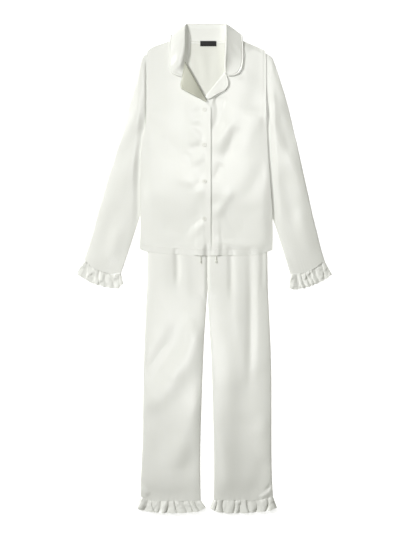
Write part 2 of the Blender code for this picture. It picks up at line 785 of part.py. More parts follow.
def collar():
    """Collar in one piece: stand, roll and fall, from one end round the neck to the other."""
    rows = read(COLLAR)
    half = TRIM_WALL / 2
    seam = np.stack((rows["seam_x"], rows["seam_y"]), axis=1)
    roll = np.stack((rows["roll_x"], rows["roll_y"]), axis=1)
    edge = np.stack((rows["edge_x"], rows["edge_y"]), axis=1)
    over = rows["over"][:, None]
    out = (roll - seam) / np.linalg.norm(roll - seam, axis=1, keepdims=True)
    fall = (edge - roll) / np.linalg.norm(edge - roll, axis=1, keepdims=True)
    side = np.sign(rows["roll_x"] - 7)[:, None]
    outwards = np.concatenate((0.55 * side, np.full(side.shape, 0.84)), axis=1)
    bulge = SHOULDER_BULGE * np.sin(math.pi * over) * outwards
    # Plan and height of each point, first for the back's form, then for the front's
    plan = []
    high = []

    def add(back_plan, front_plan, back_z, front_z):
        plan.append((1 - over) * back_plan + over * front_plan)
        high.append((1 - over) * back_z + over * front_z)

    roll_z = rows["roll_z"][:, None]
    neck_z = support(seam[:, :1], seam[:, 1:]) + half
    add(seam, seam, neck_z, neck_z + WALL + GAP + 0.2)
    stand = roll - seam
    add(seam + 0.55 * stand, seam + 0.3 * stand, neck_z + 0.9, 0.25 * neck_z + 0.75 * roll_z)
    add(roll - 2.6 * out, roll - 2.2 * out, 4.9, roll_z - 0.6)
    add(roll, roll, 2.9, roll_z)
    add(roll - 2.6 * out, roll + 3.0 * fall, half, roll_z - 0.4)
    for share in (0.28, 0.55, 0.8, 1.0):
        spot = roll + share * (edge - roll)
        rest = front_face(spot[:, :1], spot[:, 1:], 1) + GAP + half + 0.5
        settle = 1 - (1 - share) ** 1.6
        add(spot, spot, half, roll_z + (rest - roll_z) * settle)
    middle = np.stack([np.concatenate((p + bulge, z), axis=1) for p, z in zip(plan, high)], axis=1)
    return wall_about("collar", middle, TRIM_WALL, SATIN)


def lapel(side):
    """Turned-back facing: softly raised along its middle, low at the roll line and the edge."""
    rows = read(RIGHT_LAPEL if side == "right" else LEFT_LAPEL)
    profile = read(LAPEL_PROFILE)
    across = profile["across"][None, :]
    x = rows["roll_x"][:, None] + (rows["edge_x"] - rows["roll_x"])[:, None] * across
    y = rows["roll_y"][:, None] + (rows["edge_y"] - rows["roll_y"])[:, None] * across
    under = front_face(x, y, 1 if side == "right" else 0) + GAP + 0.4 + profile["rise"][None, :]
    return layered("lapel_" + side, x, y, under, SATIN, wall=TRIM_WALL)


def neck_label():
    """Woven label sewn flat on the inside of the back, under the neck seam."""
    x, y = np.meshgrid((LABEL["left"], LABEL["right"]), (LABEL["low"], LABEL["high"]))
    under = support(x, y) + WALL + GAP
    return layered("neck_label", x, y, under, BLACK, wall=LABEL["wall"])


def turned(name, profile, centre, count, color):
    """Solid turned about a vertical axis from (radius, height) rows; end radii of 0 are poles."""
    radii = np.array([row[0] for row in profile])
    heights = np.array([row[1] for row in profile])
    angle = np.linspace(0, 2 * math.pi, count, endpoint=False)
    body = radii[1:-1]
    ring = np.stack((np.outer(body, np.cos(angle)), np.outer(body, np.sin(angle)),
                     np.outer(heights[1:-1], np.ones(count))), axis=-1).reshape(-1, 3)
    points = np.concatenate(([[0, 0, heights[0]]], ring, [[0, 0, heights[-1]]])) + centre
    faces = grid_faces(len(body), count, 1, wrap=True)
    last = len(points) - 1
    top = 1 + (len(body) - 1) * count
    for place in range(count):
        beside = (place + 1) % count
        faces.append((0, 1 + beside, 1 + place))
        faces.append((last, top + place, top + beside))
    return mesh_object(name, points, faces, color, 0.25)


def button(number, y):
    """Four-hole shirt button, here as its turned outer form with a dished face."""
    profile = ((0, 0), (BUTTON_R - 0.8, 0), (BUTTON_R, 0.8), (BUTTON_R, BUTTON_H - 0.5),
               (BUTTON_R - 0.8, BUTTON_H), (BUTTON_R - 2.0, BUTTON_H - 0.5), (0, BUTTON_H - 0.6))
    reach = np.array((-BUTTON_R, 0, BUTTON_R))
    levels = np.array(LEVELS)
    rows = front_face(BUTTON_X + reach[:, None], levels[None, :], 1).max(axis=0)
    seat = np.interp(y + reach, levels, rows).max() + GAP
    seat = max(seat, front_face(BUTTON_X + reach[:, None], y + reach[None, :], 1).max() + GAP)
    return turned(f"button_{number}", profile, (BUTTON_X, y, seat), 12, PEARL)


def cord(side):
    """Free drawstring end: a round cord laid along a smooth curve through its route."""
    rows = read(RIGHT_CORD if side == "right" else LEFT_CORD)
    route = np.stack((rows["x"], rows["y"], rows["z"]), axis=1)
    ends = np.concatenate((2 * route[:1] - route[1:2], route, 2 * route[-1:] - route[-2:-1]))
    points = []
    for place in range(len(route) - 1):
        p0, p1, p2, p3 = ends[place:place + 4]
        steps = max(2, round(np.linalg.norm(p2 - p1) / CORD_STEP))
        for t in np.arange(steps) / steps:
            curve = 2 * p1 + (p2 - p0) * t + (2 * p0 - 5 * p1 + 4 * p2 - p3) * t ** 2
            points.append(0.5 * (curve + (3 * p1 - p0 - 3 * p2 + p3) * t ** 3))
    points.append(route[-1])
    name = "drawstring_" + side
    line = bpy.data.curves.new(name, "CURVE")
    line.dimensions = "3D"
    line.bevel_depth = CORD_R * MM
    line.bevel_resolution = 2
    line.use_fill_caps = True
    spline = line.splines.new("POLY")
    spline.points.add(len(points) - 1)
    spline.points.foreach_set("co", np.column_stack((np.array(points) * MM, np.ones(len(points)))).ravel())
    item = bpy.data.objects.new(name, line)
    bpy.context.collection.objects.link(item)
    line.materials.append(finish(name, SATIN_SHADE, 0.4))
    return item


def knot(side):
    """Small knot that ends a drawstring."""
    rows = read(RIGHT_CORD if side == "right" else LEFT_CORD)
    tip = np.array((rows["x"][-1], rows["y"][-1] - KNOT_R - GAP, rows["z"][-1]))
    low = -KNOT_R * 0.75
    profile = ((0, low), (KNOT_R * 0.6, low * 0.75), (KNOT_R, 0), (KNOT_R * 0.6, -low * 0.75), (0, -low))
    return turned("drawstring_knot_" + side, profile, tip, 8, SATIN_SHADE)


def main():
    for item in list(bpy.data.objects):
        bpy.data.objects.remove(item, do_unlink=True)
    for side in ("right", "left"):
        trouser_back(side)
        trouser_front(side)
        hem_ruffle(side)
        cord(side)
        knot(side)
        sleeve(side)
        cuff_ruffle(side)
        shirt_front(side)
        lapel(side)
    waistband()
    shirt_back()
    collar()
    neck_label()
    for number, y in enumerate(BUTTON_ROWS, start=1):
        button(number, y)


main()
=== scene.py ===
"""Looks of a satin pyjama set laid out flat: a button-through shirt on a pair of trousers.

The set lies on the plane z = 0, face up; +X runs to the wearer's left, +Y to the neck and +Z up.
Shapes are worked out in millimetres and turned to metres in make_mesh. Right and left are the
wearer's, so the right side is at -X. Each piece of cloth is a thin wall whose outer face is a
function of two parameters: v runs along the piece and u across it.
"""
import math

import bpy
import numpy as np
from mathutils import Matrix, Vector


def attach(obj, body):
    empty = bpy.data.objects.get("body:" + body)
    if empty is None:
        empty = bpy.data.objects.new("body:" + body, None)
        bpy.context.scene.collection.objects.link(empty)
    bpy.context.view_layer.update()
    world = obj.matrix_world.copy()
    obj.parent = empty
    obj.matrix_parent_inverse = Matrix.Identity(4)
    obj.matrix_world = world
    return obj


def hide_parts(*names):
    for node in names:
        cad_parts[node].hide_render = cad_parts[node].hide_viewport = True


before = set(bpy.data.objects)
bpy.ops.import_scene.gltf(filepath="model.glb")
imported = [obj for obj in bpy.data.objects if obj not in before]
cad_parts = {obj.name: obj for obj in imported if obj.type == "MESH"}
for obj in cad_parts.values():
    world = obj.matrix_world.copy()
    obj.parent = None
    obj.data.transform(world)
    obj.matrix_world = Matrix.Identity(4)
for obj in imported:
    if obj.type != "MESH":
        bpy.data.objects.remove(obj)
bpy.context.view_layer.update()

MM = 0.001
STEP = 2.7              # spacing of a grid's points on cloth that shows
COARSE = 9.0            # spacing on cloth that is covered or lies on the floor
PLY = 0.5               # satin with its turned edges
TRIM_PLY = 1.3          # collar and lapels: two plies and an interlining

# Walls, gaps and heights of the solids underneath, which the cloth follows
WALL = 1.2
TRIM_WALL = 1.8
GAP = 0.3
PAIR = 2 * WALL + GAP   # a flattened tube where its two walls meet
EDGE_LIFT = 0.5
SHIRT_CROWN = 1.9
SLEEVE_LIFT = 0.6
SLEEVE_CROWN = 4.6
LEG_CROWN_WAIST = 1.0
LEG_CROWN_HEM = 3.2
TROUSER_STEP = 8.4      # height at which the shirt lies on the trousers
SLEEVE_STEP = 4.3       # height at which its side lies on the tucked sleeve
OVERLAP_STEP = WALL + GAP + 0.2
FRONT_SINK = 2.3        # how far the left front sinks to the back where its lapel turns
RISE_SIDE = 4.5         # height of the shirt's sides where they lie on the sleeves
HEM_LIES = 4.6          # height at which the hem lies beside the trousers
PLY_GAP = 0.12          # left between plies where the hem lies on the trousers
NECK_LOW = 0.9          # share of the fronts' loft that is lost beside the neck
SIDE_ROUNDING = 20      # distance over which the shirt's loft grows from its side seam
LEG_ROUNDING = 9        # the same at a leg's seams
EDGE_RADIUS = 1.1       # of a turned front edge
LEG_RADIUS = 2.4        # of a leg's sides, where the front turns down to the back
TUBE_RADIUS = 3.4       # of a laid tube's sides
TUBE_WIDTH = 110        # usual width of a laid tube, by which its finest columns are spaced
TRIM_RADIUS = 1.2       # of a collar's or a lapel's edge
HEM_STITCH = 17         # height of the hem's stitches above its edge

# Lines of the pattern: x of seams and edges on each side, y of the rest
FRONT_EDGE = {"right": 20, "left": -19}
ARMHOLE = {"right": -159, "left": 172}
SHOULDER = {"right": -162.0, "left": 175.0}
HEM_CORNER = {"right": -183.0, "left": 195.0}
CENTRE = 9              # x of the trousers' centre seam
UNDERARM_TOP = 450
UNDERARM = 412
CHEST = 440.0           # y up to which the fronts' rows are level
WAIST_TOP = 227
WAIST_SEAM = 192
STEP_START = 267
STEP_END = 211
LEG_HEM = -651
CROTCH = -90
SEAM_HALF = GAP / 2

OUTWARD = {"right": -1, "left": 1}  # winding of a grid whose u runs from the outer edge inwards
UPWARDS = np.array((0.0, 0.0, 1.0))

# Blends: the coordinate or distance where each starts and where it is complete
STEP_SIDE = 14                  # half the width over which the shirt climbs at the legs' sides
TUCK_START = (105, 150)         # y over which the tucked sleeve starts to raise the side
TUCK_REACH = (30, 10)           # distance past the sleeve's inner edge
RIGHT_FALL = (-127, -103)       # x of the collar's fall under the shoulders
LEFT_FALL = (141, 117)
FALL_TOP = (606, 630)           # y of the same
RIGHT_OPENING = (-48, -40)      # x where the front's upper edge is the roll line
LEFT_OPENING = (62, 54)
RIGHT_OF_NECK = (-84, -52)      # x where the fronts lie low for the collar
LEFT_OF_NECK = (96, 64)
UNDER_COLLAR = (560, 600)       # y of the same
RIGHT_COVER = (-112, -96)       # x under the collar, where the fronts' folds fade
LEFT_COVER = (124, 108)
COVER_TOP = (534, 556)          # y of the same
SHOULDER_BLEND = (0, 14)        # distance from the upper edge
CORNER_BLEND = (22, 8)          # distance from the side at the shoulder point
RISE_SIDES = (130, 25)          # distance from the side over which the shirt's sides rise first
RISE_MIDDLE = (600, 290)        # y over which its middle rises
RISE_RIGHT = (-192, -146)       # x over which it rises further, on to the trousers
RISE_LEFT = (204, 164)
RISE_ON_LEGS = (345, 203)       # y of the same
OVERLAP_BLEND = (46, 1)         # distance short of the covered front edge
CROTCH_BLEND = (-40, 30)        # y about the crotch where the inner seam starts to be low
WAIST_BLEND = (50, -60)         # y over which the legs' loft grows
COVERED_BLEND = (85, 40)        # y over which the legs' folds come out from under the shirt
HEM_SETTLES = (225, 50)         # y over which the shirt starts to sink to the trousers
CUFF_SLANT = 0.34               # fall of the cuff's line from the body outwards

BUTTON_X = 1
BUTTON_ROWS = (452, 352, 248, 141)
BUTTON_R = 6.0
HOLE_SPREAD = 1.25      # of a button's four holes from its middle
LABEL = dict(left=-11, right=35, low=633, high=648)
CORD_R = 1.6
KNOT_R = 3.4
CORD_X = {"right": -11, "left": 34}  # where the cords lift the hem
CORD_SPREAD = 13        # half the width over which each lifts it

BODY_SIDES = (
    ("y", "right", "left"),
    (50, -183, 195), (95, -182, 196), (161, -181, 195), (249, -180, 188), (335, -177, 182),
    (366, -172, 180), (403, -165, 178), (483, -164, 177), (594, -164, 177), (620, -162, 175),
)
SHIRT_HEM = (
    ("x", "y"),
    (-183, 54), (-162, 47), (-97, 41), (3, 36), (103, 37), (165, 41), (195, 53),
)
BACK_TOP = (
    ("x", "y"),
    (-162, 620), (-140, 634), (-97, 648), (-46, 657), (-43, 661), (54, 661), (57, 657), (111, 648),
    (154, 631), (175, 620),
)
RIGHT_FRONT_TOP = (
    ("x", "y"),
    (-162, 620), (-140, 634), (-97, 648), (-74, 654), (-66, 655), (-56, 589), (-46, 560),
    (-30, 532), (-7, 493), (5, 477), (20, 457),
)
LEFT_FRONT_TOP = (
    ("x", "y"),
    (-19, 459), (-9, 473), (3, 489), (20, 512), (40, 537), (56, 557), (72, 656), (88, 654),
    (111, 648), (154, 631), (175, 620),
)
RIGHT_SLEEVE = (
    ("outer_x", "outer_y", "inner_x", "inner_y"),
    (-159, 613, -159, 409),
    (-166, 612, -160, 406),
    (-176, 602, -161, 402),
    (-187, 571, -162, 395),
    (-194, 537, -162, 383),
    (-204, 503, -161, 369),
    (-217, 457, -155, 352),
    (-229, 400, -151, 329),
    (-251, 332, -151, 295),
    (-271, 269, -157, 241),
    (-289, 207, -172, 178),
    (-304, 155, -189, 127),
    (-317, 104, -204, 81),
    (-331, 58, -219, 36),
    (-342, 24, -235, -11),
)
LEFT_SLEEVE = (
    ("outer_x", "outer_y", "inner_x", "inner_y"),
    (172, 613, 172, 409),
    (180, 613, 174, 406),
    (195, 602, 176, 402),
    (206, 571, 177, 395),
    (217, 537, 177, 383),
    (228, 503, 175, 369),
    (241, 457, 171, 352),
    (254, 400, 167, 329),
    (269, 338, 165, 292),
    (284, 269, 170, 238),
    (298, 207, 185, 175),
    (309, 155, 200, 127),
    (322, 104, 215, 81),
    (333, 58, 229, 36),
    (344, 21, 245, -16),
)
LEGS = (
    ("y", "right_outer", "right_inner", "left_inner", "left_outer"),
    (192, -137, 9, 9, 157),
    (152, -148, 9, 9, 168),
    (95, -158, 9, 9, 178),
    (36, -162, 9, 9, 181),
    (-20, -162, 9, 9, 181),
    (-56, -162, 11, 11, 182),
    (-90, -165, 8, 10, 183),
    (-158, -168, 3, 14, 187),
    (-230, -171, -1, 19, 190),
    (-300, -172, -4, 22, 192),
    (-370, -174, -6, 24, 192),
    (-460, -174, -9, 26, 192),
    (-540, -177, -11, 28, 192),
    (-600, -181, -10, 28, 193),
    (-651, -181, -9, 27, 197),
)
COLLAR = (
    ("seam_x", "seam_y", "roll_x", "roll_y", "edge_x", "edge_y", "over", "roll_z"),
    (-51, 583, -54, 585, -61, 545, 1.0, 6.0),
    (-49, 589, -54, 589, -76, 548, 1.0, 7.0),
    (-45, 598, -54, 596, -91, 554, 1.0, 9.6),
    (-41, 613, -54, 610, -99, 570, 1.0, 13.4),
    (-39, 632, -54, 634, -100, 592, 1.0, 16.4),
    (-39, 648, -54, 662, -100, 614, 1.0, 17.4),
    (-39, 656, -54, 680, -99, 640, 1.0, 15.6),
    (-39, 661.3, -53, 690, -96, 660, 1.0, 13.4),
    (-39, 661.3, -51, 693, -95, 661, 0.75, 11.6),
    (-38, 661.3, -49, 695.5, -93, 661, 0.45, 10.2),
    (-37, 661.3, -47, 697.5, -90, 660, 0.15, 9.6),
    (-36, 661.3, -45, 699, -82, 654, 0.0, 9.2),
    (-28, 661.3, -32, 699.4, -52, 643, 0.0, 9.0),
    (7, 661.3, 7, 699.4, 7, 637, 0.0, 9.0),
    (42, 661.3, 46, 699.4, 66, 643, 0.0, 9.0),
    (54, 661.3, 56, 699, 96, 654, 0.0, 9.2),
    (57, 661.3, 58, 698, 104, 660, 0.15, 10.0),
    (58, 661.3, 60, 696, 107, 661, 0.45, 13.0),
    (59, 661.3, 61, 695, 108, 661, 0.75, 16.0),
    (60, 661.3, 62, 693, 109, 660, 1.0, 18.4),
    (60.5, 656, 62.5, 684, 112, 640, 1.0, 20.0),
    (60.5, 648, 62.5, 662, 113, 614, 1.0, 21.0),
    (60, 632, 62, 634, 113, 592, 1.0, 21.0),
    (58, 608, 60.5, 606, 110, 570, 1.0, 19.0),
    (57, 584, 59.5, 581, 101, 555, 1.0, 15.0),
    (58, 568, 60.5, 564, 87, 549, 1.0, 11.4),
    (60, 558, 63, 555, 68, 547, 1.0, 8.6),
)
SHOULDER_BULGE = 3.5
RIGHT_LAPEL = (
    ("roll_x", "roll_y", "edge_x", "edge_y"),
    (-54, 588, -62, 549), (-50, 579, -61, 540), (-43, 566, -65, 530), (-37, 556, -66, 521),
    (-24, 533, -63, 511), (-12, 511, -38, 498), (-2, 494, -14, 486), (7, 479, 6, 474),
)
LEFT_LAPEL = (
    ("roll_x", "roll_y", "edge_x", "edge_y"),
    (58, 562, 64, 549), (56, 554, 67, 541), (47, 542, 70, 533), (37, 530, 70, 521),
    (26, 516, 61, 508), (15, 503, 34, 494), (9, 495, 21, 486), (5, 488, 11, 482),
)
RIGHT_CUFF_EDGE = (
    ("x", "y"),
    (-365, -17), (-342, -30), (-319, -43), (-294, -51), (-268, -56), (-243, -57), (-230, -43),
)
LEFT_CUFF_EDGE = (
    ("x", "y"),
    (365, -17), (351, -29), (331, -40), (308, -49), (288, -56), (262, -60), (240, -57),
)
RIGHT_HEM_EDGE = (
    ("x", "y"),
    (-194, -682), (-174, -690), (-140, -695), (-91, -697.5), (-40, -695), (-9, -691), (6, -681),
)
LEFT_HEM_EDGE = (
    ("x", "y"),
    (208, -681), (188, -690), (148, -694), (103, -697.5), (60, -697), (31, -691), (15, -683),
)
# Flutes of the frills from the outer end: where each starts on the seam and on the free edge as a
# share of their lengths, how high it stands and how far its top is tipped
RIGHT_CUFF_FLUTES = (
    ("seam", "edge", "high", "tip"),
    (0.0, 0.0, 0.55, 0.3), (0.10, 0.20, 0.8, -0.4), (0.23, 0.38, 0.75, 0.5),
    (0.42, 0.50, 0.7, -0.3), (0.58, 0.64, 0.75, 0.4), (0.71, 0.79, 0.8, -0.5),
    (0.95, 0.93, 0.5, -0.8), (1.0, 1.0, 0.0, 0.0),
)
LEFT_CUFF_FLUTES = (
    ("seam", "edge", "high", "tip"),
    (0.0, 0.0, 0.6, 0.5), (0.10, 0.20, 0.8, -0.6), (0.34, 0.315, 0.7, 0.8), (0.45, 0.42, 0.8, 0.3),
    (0.58, 0.51, 1.0, -0.2), (0.70, 0.61, 0.8, 0.5), (0.82, 0.713, 1.0, 0.7), (1.0, 1.0, 0.0, 0.0),
)
RIGHT_HEM_FLUTES = (
    ("seam", "edge", "high", "tip"),
    (0.0, 0.0, 0.8, -0.9), (0.115, 0.115, 0.5, 0.6), (0.19, 0.277, 0.8, -0.4),
    (0.33, 0.32, 1.0, -0.2), (0.455, 0.426, 0.7, 0.5), (0.56, 0.588, 0.9, -0.7),
    (0.69, 0.723, 0.7, 0.4), (0.80, 0.804, 0.9, -0.5), (0.88, 0.90, 0.6, 0.8), (1.0, 1.0, 0.0, 0.0),
)
LEFT_HEM_FLUTES = (
    ("seam", "edge", "high", "tip"),
    (0.0, 0.0, 0.9, 0.7), (0.085, 0.17, 1.0, -0.3), (0.288, 0.315, 0.8, 0.4),
    (0.424, 0.41, 0.9, -0.8), (0.525, 0.553, 0.7, 0.6), (0.627, 0.64, 0.9, -0.2),
    (0.83, 0.784, 1.0, 0.4), (0.93, 0.913, 0.6, -0.5), (1.0, 1.0, 0.0, 0.0),
)
RIGHT_CORD = (
    ("x", "y", "z"),
    (-1, 199, 5.9), (-4, 175, 6.0), (-7, 150, 6.0), (-9, 120, 6.0), (-10, 90, 6.1), (-11, 60, 6.2),
    (-10, 38, 6.4), (-9, 22, 7.2),
)
LEFT_CORD = (
    ("x", "y", "z"),
    (17, 199, 5.9), (21, 175, 6.0), (25, 150, 6.0), (29, 120, 6.0), (32, 90, 6.1), (33, 60, 6.2),
    (34, 38, 6.4), (35, 22, 7.2),
)

SLEEVES = {"right": RIGHT_SLEEVE, "left": LEFT_SLEEVE}
FRONT_TOPS = {"right": RIGHT_FRONT_TOP, "left": LEFT_FRONT_TOP}
LAPELS = {"right": RIGHT_LAPEL, "left": LEFT_LAPEL}
CORDS = {"right": RIGHT_CORD, "left": LEFT_CORD}

# Frills: free edge, flutes, seed, and a form of five values: the height of the flutes, the power that
# flattens their tops, their lean, the height of their crumples and the kick-up of the free edge
CUFFS = {
    "right": (RIGHT_CUFF_EDGE, RIGHT_CUFF_FLUTES, 7, (3.6, 0.7, 0.0, 0.9, 0.0)),
    "left": (LEFT_CUFF_EDGE, LEFT_CUFF_FLUTES, 9, (3.6, 0.7, 0.0, 0.9, 0.0)),
}
HEMS = {
    "right": (RIGHT_HEM_EDGE, RIGHT_HEM_FLUTES, 41, (6.2, 0.5, 0.35, 0.45, 3.2)),
    "left": (LEFT_HEM_EDGE, LEFT_HEM_FLUTES, 43, (6.2, 0.5, -0.35, 0.45, 1.6)),
}

# Sag of a frill's seam in mm, the share over which it grows, how much of it goes at the inner end
SEAM_SAGS = {
    "cuff_ruffle_right": (15.0, 0.35, 0.8),
    "cuff_ruffle_left": (9.0, 0.35, 0.9),
    "hem_ruffle_right": (11.0, 0.2, 0.1),
    "hem_ruffle_left": (9.0, 0.25, 0.1),
}

# Creases: a soft ridge (+) or trough (-) from one point to another, bowed to its left by bow,
# with its own softness on the left and on the right of the line
SHIRT_CREASES = (
    ("x0", "y0", "x1", "y1", "bow", "left", "right", "height"),
    (-4, 352, -44, 338, 2, 12, 14, -2.2),
    (-4, 376, -40, 398, -2, 14, 12, 1.5),
    (-2, 326, -34, 300, 2, 14, 11, 1.8),
    (-4, 248, -46, 222, 2, 12, 15, -2.0),
    (-4, 272, -40, 288, -2, 12, 12, 1.2),
    (-3, 141, -38, 126, 2, 12, 13, -1.6),
    (-3, 452, -40, 438, 2, 13, 12, -1.6),
    (-34, 412, 2, 372, 2, 17, 10, -1.9),
    (-62, 318, 8, 258, -4, 22, 11, -2.5),
    (-80, 262, -4, 205, 6, 26, 16, 2.8),
    (-4, 172, -78, 96, 8, 17, 26, -3.0),
    (-46, 78, -4, 136, -3, 15, 10, 3.0),
    (-160, 62, -24, 104, 6, 26, 13, 2.0),
    (-112, 126, -20, 92, -4, 16, 22, -2.2),
    (3, 130, 5, 52, 0, 8, 10, 1.2),
    (-130, 560, -50, 440, -8, 40, 30, 1.5),
    (-46, 470, -22, 400, 3, 18, 14, 1.5),
    (-160, 420, -95, 300, 8, 34, 26, -1.5),
    (-165, 230, -110, 130, 4, 30, 22, 1.5),
    (26, 336, 96, 430, 4, 16, 26, 3.5),
    (92, 408, 54, 300, 4, 24, 18, -2.5),
    (50, 300, 27, 252, 2, 13, 14, -2.2),
    (28, 148, 78, 226, -4, 16, 14, 3.0),
    (34, 200, 112, 84, 8, 34, 26, -3.2),
    (30, 80, 84, 44, 3, 20, 13, 2.5),
    (28, 480, 62, 470, 2, 15, 16, -2.8),
    (44, 474, 26, 388, 5, 17, 13, -3.0),
    (124, 560, 74, 430, 8, 36, 30, 1.8),
    (155, 440, 112, 320, -8, 30, 24, 1.8),
    (168, 300, 112, 190, 8, 34, 26, -1.8),
    (150, 160, 180, 70, 4, 22, 28, 1.8),
)
SLEEVE_CREASES = (
    ("x0", "y0", "x1", "y1", "bow", "left", "right", "height"),
    (-174, 560, -208, 430, 4, 18, 13, -1.6),
    (-186, 500, -222, 350, 6, 20, 15, 1.8),
    (-180, 400, -235, 290, -6, 18, 24, -1.8),
    (-212, 320, -265, 160, 8, 22, 28, 2.2),
    (-236, 250, -290, 60, 6, 24, 20, -1.8),
    (-245, 120, -272, 10, 3, 14, 18, 1.8),
    (190, 570, 214, 470, -4, 15, 20, -2.4),
    (184, 500, 206, 400, -3, 15, 18, 2.2),
    (200, 440, 246, 330, 5, 20, 15, -2.0),
    (240, 330, 288, 180, 6, 24, 20, 2.4),
    (214, 270, 262, 110, 5, 18, 22, -2.2),
    (268, 170, 304, 50, -4, 20, 20, 1.8),
)
LEG_CREASES = (
    ("x0", "y0", "x1", "y1", "bow", "left", "right", "height"),
    (-184, -622, -160, -648, 2, 8, 6, 2.6),
    (198, -626, 160, -653, 2, 8, 6, 2.2),
    (198, -604, 176, -632, 2, 5, 5, -2.0),
    (-79, 74, -76, -48, 2, 8, 9, -3.3),
    (-58, 70, -50, -90, 2, 16, 20, 1.4),
    (-30, -146, -50, -200, 2, 9, 13, 0.9),
    (-114, 60, -118, -90, 2, 26, 22, 1.6),
    (74, 74, 77, -80, 2, 9, 9, -2.8),
    (98, 60, 100, -240, -4, 17, 16, 1.0),
    (130, 74, 128, -330, 4, 14, 12, -2.9),
    (147, 60, 150, -240, 4, 16, 16, 0.9),
    (166, 60, 166, -60, 2, 7, 8, -2.2),
    (-18, -160, -88, -312, 14, 38, 30, 4.8),
    (-74, -290, -164, -396, 8, 34, 30, 4.0),
    (-56, -146, -182, -336, 6, 34, 33, -4.4),
    (-10, -356, -92, -556, 10, 42, 30, 3.6),
    (-156, -400, -118, -556, 8, 28, 36, -2.6),
    (-60, -600, -30, -440, -8, 24, 28, -1.3),
    (-90, -575, -84, -640, 3, 34, 34, 0.8),
    (58, -150, 70, -440, 8, 30, 30, 1.4),
    (112, -300, 122, -640, -8, 46, 36, -2.8),
    (176, -420, 150, -480, 6, 22, 20, 1.2),
    (172, -540, 134, -650, 8, 30, 26, -2.0),
    (50, -480, 60, -640, 6, 26, 24, 1.8),
)
BACK_CREASES = (
    ("x0", "y0", "x1", "y1", "bow", "left", "right", "height"),
    (-14, 640, 10, 500, 3, 13, 17, 0.7),
    (22, 630, 12, 510, -3, 16, 13, -0.6),
    (38, 625, 30, 540, 2, 10, 12, 0.6),
    (-28, 620, -10, 540, 2, 12, 10, -0.7),
)


def read(table):
    """Columns of a table, by the names in its first row."""
    rows = np.array(table[1:], dtype=float)
    return {name: rows[:, place] for place, name in enumerate(table[0])}


def points_of(table, *names):
    """Points whose coordinates are the named columns of a table."""
    columns = read(table)
    return np.stack([columns[name] for name in names], axis=1)


def travelled(path):
    """Distance along a path from its start to each of its points."""
    return np.concatenate(([0], np.cumsum(np.linalg.norm(np.diff(path, axis=0), axis=1))))


def unit(vectors):
    """Vectors of a list, brought to length 1."""
    return vectors / np.linalg.norm(vectors, axis=1, keepdims=True)


def look_up(table, key, value, at):
    """Value column at a place between the rows, straight from row to row."""
    columns = read(table)
    order = np.argsort(columns[key])
    return np.interp(at, columns[key][order], columns[value][order])


def ramp(value, low, high):
    """Smooth step: 0 up to low and 1 from high on, or the other way round when high < low."""
    share = np.clip((value - low) / (high - low), 0, 1)
    return share * share * (3 - 2 * share)


def softened(rows, count, passes):
    """Rows of a table spread evenly along their path, then rounded by averaging neighbours."""
    reach = travelled(rows)
    even = np.linspace(0, reach[-1], count)
    path = np.stack([np.interp(even, reach, column) for column in rows.T], axis=1)
    return averaged(path, passes)


def averaged(rows, passes):
    """Rows averaged with their neighbours, 1 : 2 : 1, that many times over; the ends stay."""
    for _ in range(passes):
        rows[1:-1] = 0.25 * rows[:-2] + 0.5 * rows[1:-1] + 0.25 * rows[2:]
    return rows


def creases(table, x, y):
    """Sum of folds: height * exp(-(distance from a bowed line / softness)^2), fading at its ends."""
    total = np.zeros(np.broadcast(x, y).shape)
    for x0, y0, x1, y1, bow, left, right, height in np.array(table[1:], dtype=float):
        length = math.hypot(x1 - x0, y1 - y0)
        along = ((x - x0) * (x1 - x0) + (y - y0) * (y1 - y0)) / length ** 2
        aside = ((y - y0) * (x1 - x0) - (x - x0) * (y1 - y0)) / length
        aside = aside - bow * 4 * np.clip(along, 0, 1) * (1 - np.clip(along, 0, 1))
        width = np.where(aside > 0, left, right)
        bell = np.exp(-(aside / width) ** 2)
        total = total + height * bell * ramp(along, -0.12, 0.25) * ramp(along, 1.12, 0.7)
    return total


def unevenness(x, y, seed, longest, shortest, height):
    """Soft wander of laid satin: six sines of random heading, each bent by the one before it."""
    chance = np.random.default_rng(seed)
    total = np.zeros(np.broadcast(x, y).shape)
    for share in np.linspace(0, 1, 6):
        heading = chance.uniform(0, math.pi)
        wave = 2 * math.pi / (longest + (shortest - longest) * share)
        phase = chance.uniform(0, 2 * math.pi)
        run = (x * math.cos(heading) + y * math.sin(heading)) * wave + phase
        total = total + (1 - 0.5 * share) * np.sin(run + 0.7 * total)
    return height * total / 2


def body_side(side, y):
    """x of the shirt body's side edge."""
    return look_up(BODY_SIDES, "y", side, y)


def from_sides(x, y):
    """Distance from the nearer side edge of the shirt's body."""
    return np.minimum(x - body_side("right", y), body_side("left", y) - x)


def leg_edge(name, y):
    """x of one of the legs' edges."""
    return look_up(LEGS, "y", name, y)


def support(x, y):
    """Underside of the shirt's back: the plane, the trousers, the tucked sleeves, the collar's fall."""
    right, left = leg_edge("right_outer", y), leg_edge("left_outer", y)
    from_right = ramp(x, right - STEP_SIDE, right + STEP_SIDE)
    from_left = ramp(x, left + STEP_SIDE, left - STEP_SIDE)
    on_trousers = TROUSER_STEP * from_right * from_left * ramp(y, STEP_START, STEP_END)
    span = ramp(y, *TUCK_START) * ramp(y, UNDERARM_TOP, UNDERARM)
    right_reach = look_up(RIGHT_SLEEVE, "inner_y", "inner_x", y)
    left_reach = look_up(LEFT_SLEEVE, "inner_y", "inner_x", y)
    past, tucked = TUCK_REACH
    sleeve_sides = np.maximum(ramp(x, right_reach + past, right_reach + tucked),
                              ramp(x, left_reach - past, left_reach - tucked))
    on_sleeves = SLEEVE_STEP * span * sleeve_sides
    across_neck = ramp(x, *RIGHT_FALL) * ramp(x, *LEFT_FALL)
    on_collar = (TRIM_WALL + GAP) * ramp(y, *FALL_TOP) * across_neck
    return np.maximum(np.maximum(on_trousers, on_sleeves), on_collar)


